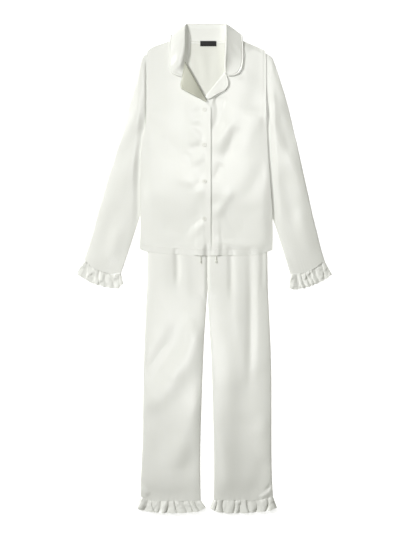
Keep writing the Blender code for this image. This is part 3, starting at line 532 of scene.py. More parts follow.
def rise(x, y):
    """Height at which the laid shirt lies: the support with its steps bridged by wide soft slopes."""
    aside = from_sides(x, y)
    near_side = ramp(aside, *RISE_SIDES)
    early = ramp(y, UNDERARM_TOP + 25, UNDERARM + 15)
    late = ramp(y, *RISE_MIDDLE)
    beside = RISE_SIDE * (late + (early - late) * near_side)
    across = ramp(x, *RISE_RIGHT) * ramp(x, *RISE_LEFT)
    over = (TROUSER_STEP - RISE_SIDE) * across * ramp(y, *RISE_ON_LEGS)
    return np.maximum(support(x, y), beside + over)


def turned_edge(distance, radius):
    """How far cloth drops towards a turned edge: a quarter circle of that radius."""
    inward = np.clip(distance / radius, 0, 1)
    return radius * (1 - np.sqrt(np.clip(1 - (1 - inward) ** 2, 0, 1)))


def spaced(length, step, lips=(0.0, 0.35, 0.9, 1.8, 3.2)):
    """Shares of a length, closer together at both ends so that a turned edge is round."""
    lips = np.array(lips)
    inner = np.linspace(lips[-1] + step, length - lips[-1] - step, max(2, round(length / step)))
    return np.concatenate((lips, inner, length - lips[::-1])) / length


def make_mesh(name, points, faces, uv=None, sharp=38):
    """Mesh object from millimetre points, quads and the surface coordinates of each face corner."""
    mesh = bpy.data.meshes.new(name)
    mesh.from_pydata((points * MM).tolist(), [], faces.tolist())
    if uv is not None:
        layer = mesh.uv_layers.new(name="UVMap")
        layer.data.foreach_set("uv", (uv * MM).ravel())
    mesh.shade_smooth()
    mesh.set_sharp_from_angle(angle=math.radians(sharp))
    item = bpy.data.objects.new(name, mesh)
    bpy.context.collection.objects.link(item)
    return item


def quads(rows, columns, wrap=False):
    """Corner numbers of a grid's quads, and the row and column steps at each corner."""
    around = columns if wrap else columns - 1
    row, column = np.meshgrid(np.arange(rows - 1), np.arange(around), indexing="ij")
    row = row.ravel()[:, None] + np.array((0, 0, 1, 1))
    column = column.ravel()[:, None] + np.array((0, 1, 1, 0))
    return row * columns + column % columns, row, column


def normals(grid, wrap=False):
    """Unit normals of a grid of points, across times along."""
    along = np.gradient(grid, axis=0)
    if wrap:
        across = np.roll(grid, -1, axis=1) - np.roll(grid, 1, axis=1)
    else:
        across = np.gradient(grid, axis=1)
    normal = np.cross(across, along)
    return normal / np.maximum(np.linalg.norm(normal, axis=-1, keepdims=True), 1e-9)


def wall(name, grid, thickness, finish, wrap=False, outward=1):
    """Closed wall of cloth: its outer face is the grid, its inner face lies thickness behind it."""
    rows, columns = grid.shape[:2]
    inner = grid - normals(grid, wrap) * thickness * outward
    corners, row, column = quads(rows, columns, wrap)
    faces = [corners if outward > 0 else corners[:, ::-1]]
    faces.append((corners[:, ::-1] if outward > 0 else corners) + rows * columns)
    if wrap:
        rims = [np.arange(columns), (rows - 1) * columns + np.arange(columns)]
    else:
        first = np.arange(columns - 1)
        left = np.arange(rows - 1, 0, -1) * columns
        rims = [np.concatenate((first, np.arange(rows - 1) * columns + columns - 1,
                                (rows - 1) * columns + first[::-1] + 1, left))]
    for place, rim in enumerate(rims):
        there = np.roll(rim, -1)
        band = np.stack((rim, rim + rows * columns, there + rows * columns, there), axis=1)
        turn = outward if place == 0 else -outward
        faces.append(band if turn > 0 else band[:, ::-1])
    step = np.linalg.norm(np.diff(grid, axis=1), axis=-1).mean(axis=0)
    across = np.concatenate(([0], np.cumsum(step)))
    if wrap:
        across = np.append(across, across[-1] + step.mean())
    along = np.concatenate(([0], np.cumsum(np.linalg.norm(np.diff(grid, axis=0), axis=-1).mean(axis=1))))
    flat = np.stack((across[column], along[row]), axis=-1)
    sides = [flat if outward > 0 else flat[:, ::-1], flat[:, ::-1] if outward > 0 else flat]
    ring = sum(len(band) for band in faces[2:])
    uv = np.concatenate((*[side.reshape(-1, 2) for side in sides], np.zeros((ring * 4, 2))))
    points = np.concatenate((grid.reshape(-1, 3), inner.reshape(-1, 3)))
    item = make_mesh(name, points, np.concatenate(faces), uv)
    return dressed(item, finish)


def dressed(item, finish):
    """Gives a piece its material and slot, and lets it ride on the one body."""
    item.data.materials.append(finish)
    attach(item, "root")
    return item


# ---------------------------------------------------------------- materials

def linear(color):
    """Linear colour of an sRGB hex value."""
    parts = [int(color[place:place + 2], 16) / 255 for place in (1, 3, 5)]
    return (*[part / 12.92 if part <= 0.04045 else ((part + 0.055) / 1.055) ** 2.4 for part in parts], 1)


def add(tree, kind, sockets=None, links=None, **settings):
    """One shader node with its settings, the values of its sockets and the outputs that feed them."""
    node = tree.nodes.new("ShaderNode" + kind)
    for name, value in settings.items():
        setattr(node, name, value)
    for name, value in (sockets or {}).items():
        node.inputs[name].default_value = value
    for name, source in (links or {}).items():
        tree.links.new(source, node.inputs[name])
    return node


def new_material(name, **uniform):
    """Empty Principled material with its uniform values set: its tree and its shader."""
    material = bpy.data.materials.new(name)
    material.use_nodes = True
    tree = material.node_tree
    shader = tree.nodes["Principled BSDF"]
    for socket, value in uniform.items():
        shader.inputs[socket.replace("_", " ")].default_value = value
    return material, tree, shader


def tinted(tree, shader, light, shade, share):
    """Base colour that runs from one sRGB hex colour to another with an output's value."""
    tint = add(tree, "Mix", {"A": linear(light), "B": linear(shade)}, {"Factor": share}, data_type="RGBA")
    tree.links.new(tint.outputs["Result"], shader.inputs["Base Color"])


def glossed(tree, shader, low, high, share):
    """Roughness that runs from low to high with an output's value."""
    gloss = add(tree, "MapRange", {"To Min": low, "To Max": high}, {"Value": share})
    tree.links.new(gloss.outputs["Result"], shader.inputs["Roughness"])


def bumped(tree, strength, distance, height, **below):
    """Relief from an output's value, over the relief below: the new normal."""
    return add(tree, "Bump", {"Strength": strength, "Distance": distance},
               {"Height": height, **below}).outputs["Normal"]


def noise(tree, place, scale, detail, **more):
    """Output of a noise, in a place's coordinates."""
    return add(tree, "TexNoise", {"Scale": scale, "Detail": detail, **more}, {"Vector": place}).outputs["Fac"]


def where(tree, kind):
    """Coordinates that a pattern is read in."""
    return add(tree, "TexCoord").outputs[kind]


def satin_weave(name, light, shade, roughness, sheen):
    """Polyester charmeuse satin: long warp floats give a soft lengthwise lustre and fine streaks.

    The real floats are 0.1 mm wide, too fine to show, so they are drawn as streaks 0.8 mm and
    4 mm wide; a wide mottle varies the lustre as a pressed and folded cloth does.
    """
    material, tree, shader = new_material(name, IOR=1.5, Specular_IOR_Level=0.65, Sheen_Weight=sheen,
                                          Sheen_Roughness=0.35)
    place = where(tree, "UV")
    warp = add(tree, "Mapping", {"Scale": (1 / 0.0008, 1 / 0.03, 1)}, {"Vector": place})
    streak = noise(tree, warp.outputs["Vector"], 1.0, 2.0, Roughness=0.5)
    broad = add(tree, "Mapping", {"Scale": (1 / 0.004, 1 / 0.09, 1)}, {"Vector": place})
    band = noise(tree, broad.outputs["Vector"], 1.0, 3.0, Roughness=0.55)
    mottle = noise(tree, place, 1 / 0.05, 2.0)
    mixed = add(tree, "Mix", {"Factor": 0.5}, {"A": band, "B": mottle})
    tinted(tree, shader, light, shade, mixed.outputs["Result"])
    glossed(tree, shader, roughness - 0.03, roughness + 0.03, band)
    fine = bumped(tree, 0.2, 0.00003, streak)
    both = bumped(tree, 0.22, 0.00008, band, Normal=fine)
    tree.links.new(both, shader.inputs["Normal"])
    return material


def pearl_button():
    """Polyester pearl button, turned and tumbled: milky, glossy, with faint swirls of shell."""
    material, tree, shader = new_material("polyester_pearl_turned", IOR=1.53, Coat_Weight=0.4,
                                          Coat_Roughness=0.08)
    swirl = noise(tree, where(tree, "Object"), 1 / 0.004, 4.0, Distortion=1.6)
    tinted(tree, shader, "#f6f6f0", "#ecede5", swirl)
    glossed(tree, shader, 0.12, 0.24, swirl)
    return material


def woven_tape():
    """Damask label tape: tight black polyester ribs 0.5 mm apart, with a dull thread shine."""
    material, tree, shader = new_material("damask_tape_woven", Roughness=0.6)
    place = where(tree, "UV")
    rib = add(tree, "TexWave", {"Scale": 1 / 0.0005 / (2 * math.pi)}, {"Vector": place}, bands_direction="Y")
    tinted(tree, shader, "#060606", "#191919", noise(tree, place, 1 / 0.0012, 2.0))
    tree.links.new(bumped(tree, 0.5, 0.00008, rib.outputs["Fac"]), shader.inputs["Normal"])
    return material


def braided_cord():
    """Rat-tail satin cord, braided over a core: round, lustrous, slanting thread lines 1.2 mm apart."""
    material, tree, shader = new_material("rat_tail_cord_braided", Roughness=0.4)
    slant = add(tree, "Mapping", {"Rotation": (0, 0, math.radians(38))}, {"Vector": where(tree, "UV")})
    thread = add(tree, "TexWave", {"Scale": 1 / 0.0012 / (2 * math.pi), "Distortion": 0.4},
                 {"Vector": slant.outputs["Vector"]}).outputs["Fac"]
    # The base colour follows the thread relief, darker in the grooves between threads and lighter on their
    # crests: painted shade
    tinted(tree, shader, "#d3d4ca", "#e6e7de", thread)
    tree.links.new(bumped(tree, 0.5, 0.00012, thread), shader.inputs["Normal"])
    return material


def sewing_thread():
    """Polyester sewing thread: two plies twisted 0.4 mm apart, slightly duller than the satin."""
    material, tree, shader = new_material("polyester_thread_spun", Roughness=0.6)
    tinted(tree, shader, "#d9dad0", "#ecece4", noise(tree, where(tree, "Object"), 1 / 0.0004, 2.0))
    return material


SATIN = satin_weave("charmeuse_satin_woven", "#f4f5f1", "#f0f1ea", 0.31, 0.06)
SATIN_BACK = satin_weave("charmeuse_satin_dull_side", "#eeefe8", "#e7e8de", 0.5, 0.06)
# Darker copy of the satin for the right lapel: its base colour is painted shade, standing in for the shade
# that falls on that lapel
SATIN_PAINTED_SHADE = satin_weave("charmeuse_satin_painted_shade", "#d0d1c2", "#c8c9b9", 0.42, 0.05)
PEARL = pearl_button()
TAPE = woven_tape()
CORD = braided_cord()
THREAD = sewing_thread()


# ---------------------------------------------------------------- camera and cords

def set_camera():
    """Long lens straight above the set, as far as a studio ceiling."""
    lens = bpy.data.cameras.new("camera")
    lens.sensor_width = 36
    lens.lens = 141.4
    lens.clip_end = 50
    item = bpy.data.objects.new("camera", lens)
    item.location = (0.00285, 0.0014, 6.0)
    bpy.context.scene.collection.objects.link(item)
    bpy.context.scene.camera = item


def tube_along(name, path, radius, count, finish, closed=False):
    """Round tube: a circle carried along a path of points, its ends closed by shrinking to a point."""
    if closed:
        ahead = np.roll(path, -1, axis=0) - np.roll(path, 1, axis=0)
    else:
        ahead = np.gradient(path, axis=0)
    ahead = unit(ahead)
    up = np.cross(ahead, np.cross(UPWARDS + 0 * ahead, ahead))
    up = up / np.maximum(np.linalg.norm(up, axis=1, keepdims=True), 1e-6)
    side = np.cross(ahead, up)
    angle = np.linspace(0, 2 * math.pi, count, endpoint=False)
    swell = np.full(len(path), float(radius))
    if not closed:
        swell[0] = swell[-1] = radius * 0.04
        swell[1] = swell[-2] = radius * 0.8
    ring = np.cos(angle)[None, :, None] * side[:, None] + np.sin(angle)[None, :, None] * up[:, None]
    grid = path[:, None] + swell[:, None, None] * ring
    corners, row, column = quads(len(path), count, True)
    reach = travelled(path)
    if closed:
        ends = np.arange(count)
        last = (len(path) - 1) * count
        seam = np.stack((last + ends, last + (ends + 1) % count, (ends + 1) % count, ends), axis=1)
        corners = np.concatenate((corners, seam))
        row = np.concatenate((row, np.full((count, 4), len(path) - 1)))
        column = np.concatenate((column, np.stack((ends, ends + 1, ends + 1, ends), axis=1)))
    uv = np.stack((column * 2 * math.pi * radius / count, reach[row]), axis=-1)
    item = make_mesh(name, grid.reshape(-1, 3), corners[:, ::-1], uv[:, ::-1].reshape(-1, 2), 60)
    return dressed(item, finish)


def through(rows, step):
    """Points every step along a smooth curve through rows: the same curve as the solids follow."""
    ends = np.concatenate((2 * rows[:1] - rows[1:2], rows, 2 * rows[-1:] - rows[-2:-1]))
    count = 1 + round(np.linalg.norm(np.diff(rows, axis=0), axis=1).sum() / step)
    share = np.linspace(0, len(rows) - 1, count)
    first = np.minimum(share.astype(int), len(rows) - 2)
    t = (share - first)[:, None]
    p0, p1, p2, p3 = (ends[first + place] for place in range(4))
    bend = (2 * p0 - 5 * p1 + 4 * p2 - p3) * t ** 2 + (3 * p1 - p0 - 3 * p2 + p3) * t ** 3
    return 0.5 * (2 * p1 + (p2 - p0) * t + bend)


def drawstring(side):
    """One free end of the drawstring with the knot at its tip, from the waistband under the shirt."""
    path = through(points_of(CORDS[side], "x", "y", "z"), 2.0)
    lying = PAIR + leg_lift(side, path[:, 0], path[:, 1]) + 0.92 * CORD_R
    path[:, 2] += np.maximum(lying - path[:, 2], 0) * ramp(path[:, 1], 95, 70)
    cord = tube_along("drawstring_" + side + "_cord", path, CORD_R, 16, CORD)
    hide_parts("drawstring_" + side)
    # Overhand knot: a trefoil path, flattened
    turn = np.linspace(0, 2 * math.pi, 72, endpoint=False)
    tip = path[-1] + np.array((0, -KNOT_R - GAP, 0))
    loop = np.stack((np.sin(turn) + 2 * np.sin(2 * turn), np.cos(turn) - 2 * np.cos(2 * turn),
                     -0.8 * np.sin(3 * turn)), axis=1)
    knot = tube_along("drawstring_" + side + "_knot", tip + loop * 0.82, 1.25, 12, CORD,
                      closed=True)
    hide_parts("drawstring_knot_" + side)


set_camera()


# ---------------------------------------------------------------- shirt body

def shirt_lift(x, y, top):
    """Loft of the fronts above the back: low at the side seams, shoulders and neck."""
    aside = from_sides(x, y)
    at_armhole = ramp(y, UNDERARM, UNDERARM_TOP)
    from_side = np.maximum(1 - np.exp(-np.maximum(aside, 0) / SIDE_ROUNDING), at_armhole)
    at_opening = ramp(x, *RIGHT_OPENING) * ramp(x, *LEFT_OPENING)
    at_corner = np.maximum(ramp(aside, *CORNER_BLEND), at_opening)
    from_shoulder = np.maximum(ramp(top - y, *SHOULDER_BLEND), at_corner)
    beside_neck = ramp(x, *RIGHT_OF_NECK) * ramp(x, *LEFT_OF_NECK)
    at_neck = 1 - NECK_LOW * beside_neck * ramp(y, *UNDER_COLLAR)
    return EDGE_LIFT + SHIRT_CROWN * from_side * from_shoulder * at_neck


def front_plain(x, y, top, laps_over):
    """Upper face of a front before its creases; the lapping one steps up over the other's edge."""
    early, late = OVERLAP_BLEND
    step = OVERLAP_STEP * ramp(x, FRONT_EDGE["left"] - early, FRONT_EDGE["left"] - late)
    return rise(x, y) + 2 * WALL + GAP + shirt_lift(x, y, top) + laps_over * step


def front_face(x, y, laps_over, top=None):
    """Upper face of a front with its creases, which fade at seams, shoulders and under the collar."""
    top = y + 100 if top is None else top
    aside = from_sides(x, y)
    fade = ramp(aside, 3, 22) * ramp(top - y, 4, 26)
    under_collar = ramp(x, *RIGHT_COVER) * ramp(x, *LEFT_COVER) * ramp(y, *COVER_TOP)
    folded = creases(SHIRT_CREASES, x, y) + unevenness(x, y, 5, 240, 110, 0.5)
    # The lapping edge lifts off the other front, most towards the hem
    corner = 3.4 * ramp(y, 150, 40) * ramp(x, -14, 20) * laps_over
    corner = corner + 1.3 * ramp(x, 4, 20) * ramp(y, 470, 440) * ramp(y, 40, 150) * laps_over
    # The left front stands up beside its underarm and sinks where its lapel turns
    beside = np.exp(-np.maximum(body_side("left", y) - x, 0) / 16)
    stand = 3.6 * np.exp(-((y - 462) / 42) ** 2) * beside * (1 - laps_over)
    sink = FRONT_SINK * ramp(top - y, 50, 4) * ramp(y, 470, 515) * ramp(x, 88, 66) * (1 - laps_over)
    # The right one rises to the roll of its wing
    neck = ramp(top - y, 26, 3) * ramp(y, 500, 575) * ramp(x, -72, -54) * laps_over
    face = front_plain(x, y, top, laps_over) + folded * fade * (1 - 0.9 * under_collar)
    low = rise(x, y) + WALL + GAP + PLY + laps_over * (OVERLAP_STEP + 0.3)
    return np.maximum(face + corner + 4.0 * neck + stand - sink, low)


def settled(x, y, z, plies):
    """Height z sunk towards the hem until the cloth lies on the trousers with that many plies between."""
    lying = np.maximum(trouser_top(x, y), HEM_LIES) + plies * (PLY + PLY_GAP)
    share = 0.55 * ramp(y, *HEM_SETTLES) + 0.45 * ramp(y, 72 + 5 * np.sin(x / 23), 40)
    return z + np.minimum(lying - z, 0) * share


def trouser_top(x, y):
    """Upper face of the trousers and cord ends that the shirt's hem lies on; nothing beyond their sides."""
    aside = np.minimum(x - leg_edge("right_outer", y), leg_edge("left_outer", y) - x)
    right, left = leg_lift("right", x, y), leg_lift("left", x, y)
    bells = [np.exp(-((x - CORD_X[side]) / CORD_SPREAD) ** 4) for side in ("right", "left")]
    cords = np.maximum(*bells)
    top = PAIR + np.where(x < CENTRE, right, left) + 2.1 * CORD_R * cords
    return top * ramp(aside, 0, 6) * ramp(y, 170, 120)


def front_grid(side):
    """Plan of a front: u from the side seam to the front edge, v from the hem to the upper edge."""
    front, shoulder, corner = FRONT_EDGE[side], SHOULDER[side], HEM_CORNER[side]
    u = spaced(abs(front - shoulder), STEP)[None, :]
    hem = look_up(SHIRT_HEM, "x", "y", corner + (front - corner) * u)
    top = look_up(FRONT_TOPS[side], "x", "y", shoulder + (front - shoulder) * u)
    # Level rows up to the chest, then rows that spread up to the upper edge
    tall = 600
    v = spaced(tall, STEP)[:, None]
    share = (CHEST - 45) / tall
    above = CHEST + (top - CHEST) * (v - share) / (1 - share)
    y = np.where(v < share, hem + (CHEST - hem) * v / share, above)
    x = body_side(side, y) + (front - body_side(side, y)) * u
    return x, y, top, hem


def shirt_front(side):
    """Front panel: the face height over its plan, dropped along the turned hem and front edge."""
    laps_over = 1 if side == "right" else 0
    x, y, top, hem = front_grid(side)
    z = front_face(x, y, laps_over, top)
    # Seam dip along the armhole
    z = z - 0.9 * np.exp(-np.abs(x - ARMHOLE[side]) / 1.6) * ramp(y, 425, 445)
    z = settled(x, y, z, 2 + laps_over * ramp(x, FRONT_EDGE["left"] - 30, FRONT_EDGE["left"]))
    z = z - turned_edge(y - hem, 0.6) - turned_edge(np.abs(x - FRONT_EDGE[side]), EDGE_RADIUS)
    # Hem turned up and stitched, its edge drawn down
    z = z - 0.5 * ramp(y - hem, 5, 0) - 0.35 * np.exp(-((y - hem - HEM_STITCH) / 1.6) ** 2)
    item = wall("shirt_front_" + side + "_cloth", np.stack((x, y, z), axis=-1), PLY, SATIN,
                outward=-OUTWARD[side])
    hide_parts("shirt_front_" + side)


def shirt_back():
    """Back panel: u from side to side, v from the hem to the neck; soft folds show in the neck.

    The grid is fine only in the middle and at the top, the part that the opening shows.
    """
    u = np.concatenate((spaced(110, COARSE) * 0.31, 0.31 + spaced(120, STEP)[1:-1] * 0.36,
                        0.67 + spaced(110, COARSE) * 0.33))[None, :]
    hem, top = (look_up(table, "x", "y", ends["right"] + (ends["left"] - ends["right"]) * u)
                for table, ends in ((SHIRT_HEM, HEM_CORNER), (BACK_TOP, SHOULDER)))
    hem = hem + 3
    v = np.concatenate((spaced(410, COARSE)[:-1] * 0.66, 0.66 + spaced(215, STEP) * 0.34))[:, None]
    y = hem + (top - hem) * v
    right = np.maximum(body_side("right", y), np.where(y > UNDERARM, ARMHOLE["right"] + GAP, -400))
    left = np.minimum(body_side("left", y), np.where(y > UNDERARM, ARMHOLE["left"] - GAP, 400))
    x = right + (left - right) * u
    open_part = ramp(y, 470, 520) * ramp(x, -50, -36) * ramp(x, 60, 46) * ramp(y, 664, 615)
    z = settled(x, y, rise(x, y) + 0.75, 1)
    z = z + open_part * np.maximum(creases(BACK_CREASES, x, y) + 0.5, -0.2)
    item = wall("shirt_back_cloth", np.stack((x, y, z), axis=-1), PLY, SATIN_BACK)
    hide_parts("shirt_back")


# ---------------------------------------------------------------- sleeves and trousers

def flat_tube(outer, inner, lift, count):
    """Laid tube: over the top from the outer to the inner edge, then back along the floor."""
    width = np.linalg.norm(inner - outer, axis=1)[:, None]
    lips = np.array((0.0, 0.25, 0.9, 2.0, 3.6)) / TUBE_WIDTH
    rim = 5.5 / TUBE_WIDTH
    over = np.concatenate((lips, np.linspace(rim, 1 - rim, count), 1 - lips[::-1]))
    below = np.concatenate((1 - lips[1:], np.linspace(0.93, 0.07, count // 4), lips[:0:-1]))
    across = np.broadcast_to(np.concatenate((over, below)), (len(width), len(over) + len(below)))
    x = outer[:, :1] + (inner - outer)[:, :1] * across
    y = outer[:, 1:] + (inner - outer)[:, 1:] * across
    from_edge = np.minimum(across, 1 - across) * width
    half = 0.9 + 0.35 * PAIR
    top = PAIR + lift(x, y, across)
    round_edge = np.sqrt(np.clip(1 - (1 - np.clip(from_edge / TUBE_RADIUS, 0, 1)) ** 2, 0, 1))
    z_top = half + (top - half) * round_edge
    z_low = half - (half - 0.25) * np.clip(round_edge * 1.6, 0, 1)
    upper = np.arange(across.shape[1]) < len(over)
    z = np.where(upper[None, :], z_top, z_low)
    return np.stack((x, y, z), axis=-1)


def downhill(chord):
    """Unit vector square to a chord, on the side of the feet."""
    away = np.array((chord[1], -chord[0])) / np.linalg.norm(chord)
    return away if away[1] < 0 else -away


def sleeve_edges(side, count):
    """Outer and inner edge of a sleeve, evenly spread and rounded."""
    path = softened(points_of(SLEEVES[side], "outer_x", "outer_y", "inner_x", "inner_y"), count, 10)
    return path[:, :2], path[:, 2:]


def sleeve_lift(side, x, y, across):
    """Loft of a sleeve: crowned across, low where it goes under the body, creased along its length."""
    outside = (x - body_side(side, y)) * OUTWARD[side]
    outside = np.where(y < 100, 60, outside)
    crown = SLEEVE_CROWN * (1 - np.abs(2 * across - 1) ** 3)
    folded = creases(SLEEVE_CREASES, x, y) + unevenness(x, y, 11, 190, 80, 0.5)
    # Gathers of the sleeve head, fading away from the armhole
    head = np.exp(-np.abs(x - ARMHOLE[side]) / 11) * ramp(y, 470, 520)
    folded = folded + 0.9 * head * np.sin(y / 3.8 + 1.4 * np.sin(y / 11))
    # Gathers beside the cuff seam
    seam = y + CUFF_SLANT * np.abs(x) - 107
    pulls = np.sin(across * 58 + 2.6 * np.sin(across * 11)) * (0.6 + 0.4 * np.sin(across * 23))
    pulls = pulls * np.exp(-np.maximum(seam, 0) / (9 + 7 * np.sin(across * 31) ** 2))
    height = np.maximum(crown + folded, 0) + 0.35 * pulls
    away = ramp(outside, 3, 26)
    lift = SLEEVE_LIFT + np.maximum(height * away * (0.35 + 0.65 * ramp(seam, -10, 40)), -0.3)
    if side == "right":
        # Its head swells beside the armhole and dips to the seam
        beside = np.maximum(outside, 0) / 9
        lift = lift + 3.6 * ramp(y, 385, 450) * ramp(y, 612, 560) * beside * np.exp(1 - beside)
    return lift


def sleeve(side):
    """Set-in sleeve: a laid tube from the armhole to the cuff seam."""
    outer, inner = sleeve_edges(side, 236)
    grid = flat_tube(outer, inner, lambda x, y, across: sleeve_lift(side, x, y, across), 42)
    # The cuff's end sags with the frill's seam
    chord = inner - outer
    share = ((grid[..., :2] - outer[:, None]) * chord[:, None]).sum(axis=2)
    share = share / (chord ** 2).sum(axis=1)[:, None]
    away = downhill(chord[-1])
    near = ramp(np.linspace(0, 1, len(grid)), 0.78, 1.0)[:, None]
    grid[..., :2] += (seam_sag("cuff_ruffle_" + side, np.clip(share, 0, 1)) * near)[..., None] * away
    item = wall("sleeve_" + side + "_cloth", grid, PLY, SATIN, wrap=True, outward=OUTWARD[side])
    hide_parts("sleeve_" + side)


def leg_lift(side, x, y):
    """Loft of a trouser front above its back, with long folds from the waist and soft drag lines."""
    outer = leg_edge(side + "_outer", y)
    inner = leg_edge(side + "_inner", y)
    from_outer = 1 - np.exp(-np.abs(x - outer) / LEG_ROUNDING)
    from_inner = 1 - np.exp(-np.abs(x - inner) / LEG_ROUNDING)
    from_inner = np.maximum(from_inner, ramp(y - CROTCH, *CROTCH_BLEND))
    crown = LEG_CROWN_WAIST + (LEG_CROWN_HEM - LEG_CROWN_WAIST) * ramp(y, *WAIST_BLEND)
    crown = crown * (0.35 + 0.65 * ramp(y, LEG_HEM - 10, LEG_HEM + 60))
    crown = crown + 2.6 * ramp(y, 100, 60) * ramp(y, -150, 40)
    folded = creases(LEG_CREASES, x, y) + unevenness(x, y, 23, 230, 90, 0.6)
    seam_pull = np.exp(-(y - LEG_HEM + 10) / (8 + 7 * np.sin(x / 9) ** 2))
    seam_pull = seam_pull * np.sin(x / 3.1 + 2.4 * np.sin(x / 14))
    centre = 1 - 0.6 * np.exp(-((x - CENTRE) / 5) ** 2) * ramp(y, CROTCH - 30, CROTCH)
    lift = (crown + folded * ramp(y, *COVERED_BLEND)) * from_outer * from_inner * centre
    return np.maximum(lift + 0.22 * seam_pull * from_outer * from_inner, -0.35)


def leg_grid(side, step):
    """Plan of a trouser panel: u from the outer to the inner edge, v from the waist to the hem."""
    v = spaced(WAIST_SEAM - LEG_HEM, step)[:, None]
    y = (WAIST_SEAM - GAP) + (LEG_HEM - WAIST_SEAM + GAP) * v
    rows = np.stack([leg_edge(side + "_" + name, y[:, 0]) for name in ("outer", "inner")], axis=1)
    rows = averaged(rows, 30)
    gap = SEAM_HALF * OUTWARD[side]
    u = spaced(180, step)[None, :]
    x = rows[:, :1] + (rows[:, 1:] + gap - rows[:, :1]) * u
    sag = seam_sag("hem_ruffle_" + side, u) * ramp(y, LEG_HEM + 160, LEG_HEM)
    return x, y - sag, u


def trouser_front(side):
    """Front of a leg: its loft over its plan, rolled down to the back along both edges."""
    x, y, u = leg_grid(side, STEP)
    width = np.abs(x[:, -1:] - x[:, :1])
    outer_drop = turned_edge(u * width, LEG_RADIUS)
    inner_drop = turned_edge((1 - u) * width, LEG_RADIUS) * ramp(y, CROTCH + 10, CROTCH - 10)
    seam_dip = 0.8 * np.exp(-((1 - u) * width / 1.6) ** 2) * ramp(y, CROTCH - 10, CROTCH + 10)
    z = PAIR + leg_lift(side, x, y) - 0.6 * (outer_drop + inner_drop) - seam_dip
    item = wall("trouser_front_" + side + "_cloth", np.stack((x, y, z), axis=-1), PLY, SATIN,
                outward=OUTWARD[side])
    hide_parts("trouser_front_" + side)


def trouser_back(side):
    """Back of a leg, flat on the floor, its edges curled up to the front's."""
    x, y, u = leg_grid(side, COARSE)
    width = np.abs(x[:, -1:] - x[:, :1])
    z = 0.7 + 0.5 * np.exp(-np.minimum(u, 1 - u) * width / 1.2)
    item = wall("trouser_back_" + side + "_cloth", np.stack((x, y, z), axis=-1), PLY, SATIN_BACK,
                outward=OUTWARD[side])
    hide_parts("trouser_back_" + side)


def waistband():
    """Casing of the drawstring, under the shirt: a laid tube with soft gathers."""
    y = np.linspace(WAIST_TOP, WAIST_SEAM, 14)
    outer = np.stack((np.full(14, leg_edge("right_outer", WAIST_SEAM)), y), axis=1)
    inner = np.stack((np.full(14, leg_edge("left_outer", WAIST_SEAM)), y), axis=1)

    def lift(x, y, across):
        return EDGE_LIFT * np.sin(math.pi * across) + 0.25 * np.sin(across * 190)

    item = wall("waistband_cloth", flat_tube(outer, inner, lift, 160), PLY, SATIN, wrap=True, outward=-1)
    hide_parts("waistband")


# ---------------------------------------------------------------- ruffles

def seam_sag(name, across):
    """How far the gathers' weight draws a frill's seam down, by the share of the way from its outer end."""
    depth, start, end = SEAM_SAGS[name]
    return depth * ramp(across, 0.0, start) * (1 - end * ramp(across, 0.72, 1.0))


def ruffle(name, seam_outer, seam_inner, style, outward):
    """Gathered frill: a ring whose upper wall rises in uneven flutes that grow and lean to the free edge.

    Inside a flute the height is sin to a power below one, so tops are broad and valleys narrow;
    a tip term slants each top; the free edge moves out where a flute is high.
    """
    edge_table, flute_table, seed, (tall, power, slant, crumpled, kick) = style
    chance = np.random.default_rng(seed)
    flutes = read(flute_table)
    free = points_of(edge_table, "x", "y")
    reach = travelled(free)
    reach = reach / reach[-1]
    count = len(flutes["seam"]) - 1
    over = np.linspace(0.004, 0.996, count * 22)
    below = np.linspace(0.996, 0.004, count * 6)
    across = np.concatenate(([0.0], over, [1.0], below))[None, :]
    place = np.arange(across.shape[1])[None, :]
    upper = place <= len(over)
    deep = np.linspace(0, 1, 21)[:, None]
    sway = chance.uniform(-0.022, 0.022, count + 1)
    sway[[0, -1]] = 0
    start = []
    for row in deep[:, 0]:
        knots = flutes["seam"] + (flutes["edge"] - flutes["seam"]) * row + sway * math.sin(math.pi * row)
        start.append(np.interp(across[0], knots, np.arange(count + 1)))
    start = np.stack(start)
    number = np.clip(np.floor(start), 0, count - 1).astype(int)
    within = start - number
    high, tip = flutes["high"][number], flutes["tip"][number] + slant
    wave = np.sin(math.pi * np.clip(within, 0, 1)) ** power
    fade = ramp(across, 0, 0.035) * ramp(across, 1, 0.965)
    grown = 0.3 + 0.7 * deep ** 0.6
    height = tall * grown * wave * (high + tip * (within - 0.5)) * fade
    # Small pleats packed against the seam, three or so to a flute
    pleats = np.abs(np.sin(math.pi * (2.6 * start + 0.35 * np.sin(start * 7)))) ** 0.7
    pleats = 1.3 * pleats * (0.5 + 0.5 * np.sin(start * 2.3 + seed)) * np.exp(-(deep / 0.3) ** 2) * fade
    sag = seam_sag(name, across)[..., None]
    fall = free[len(free) // 2] - 0.5 * (seam_outer + seam_inner)
    seam = seam_outer + (seam_inner - seam_outer) * across[..., None] + sag * fall / np.linalg.norm(fall)
    lean = tip * height * 0.5 / np.linalg.norm(seam_inner - seam_outer)
    at = np.clip(across + lean * fade, 0, 1)
    low = np.stack((np.interp(at, reach, free[:, 0]), np.interp(at, reach, free[:, 1])), axis=-1)
    reach_out = 1 + 0.07 * (wave * high - 0.7) * deep ** 2 * fade
    plan = seam + (low - seam) * (deep * reach_out)[..., None]
    crumple = unevenness(plan[..., 0], plan[..., 1], seed, 34, 13, crumpled) * fade
    roof = PAIR - 0.6 + np.maximum(height + pleats + crumple + kick * deep * fade, 0)
    z = np.where(upper, roof, 0.3)
    tips = (across <= 0) | (across >= 1)
    z = np.where(tips & (place % (len(over) + 1) == 0), PAIR / 2, z)
    grid = np.concatenate((plan, z[..., None]), axis=-1)
    item = wall(name + "_cloth", grid, PLY, SATIN, wrap=True, outward=outward)
    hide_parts(name)


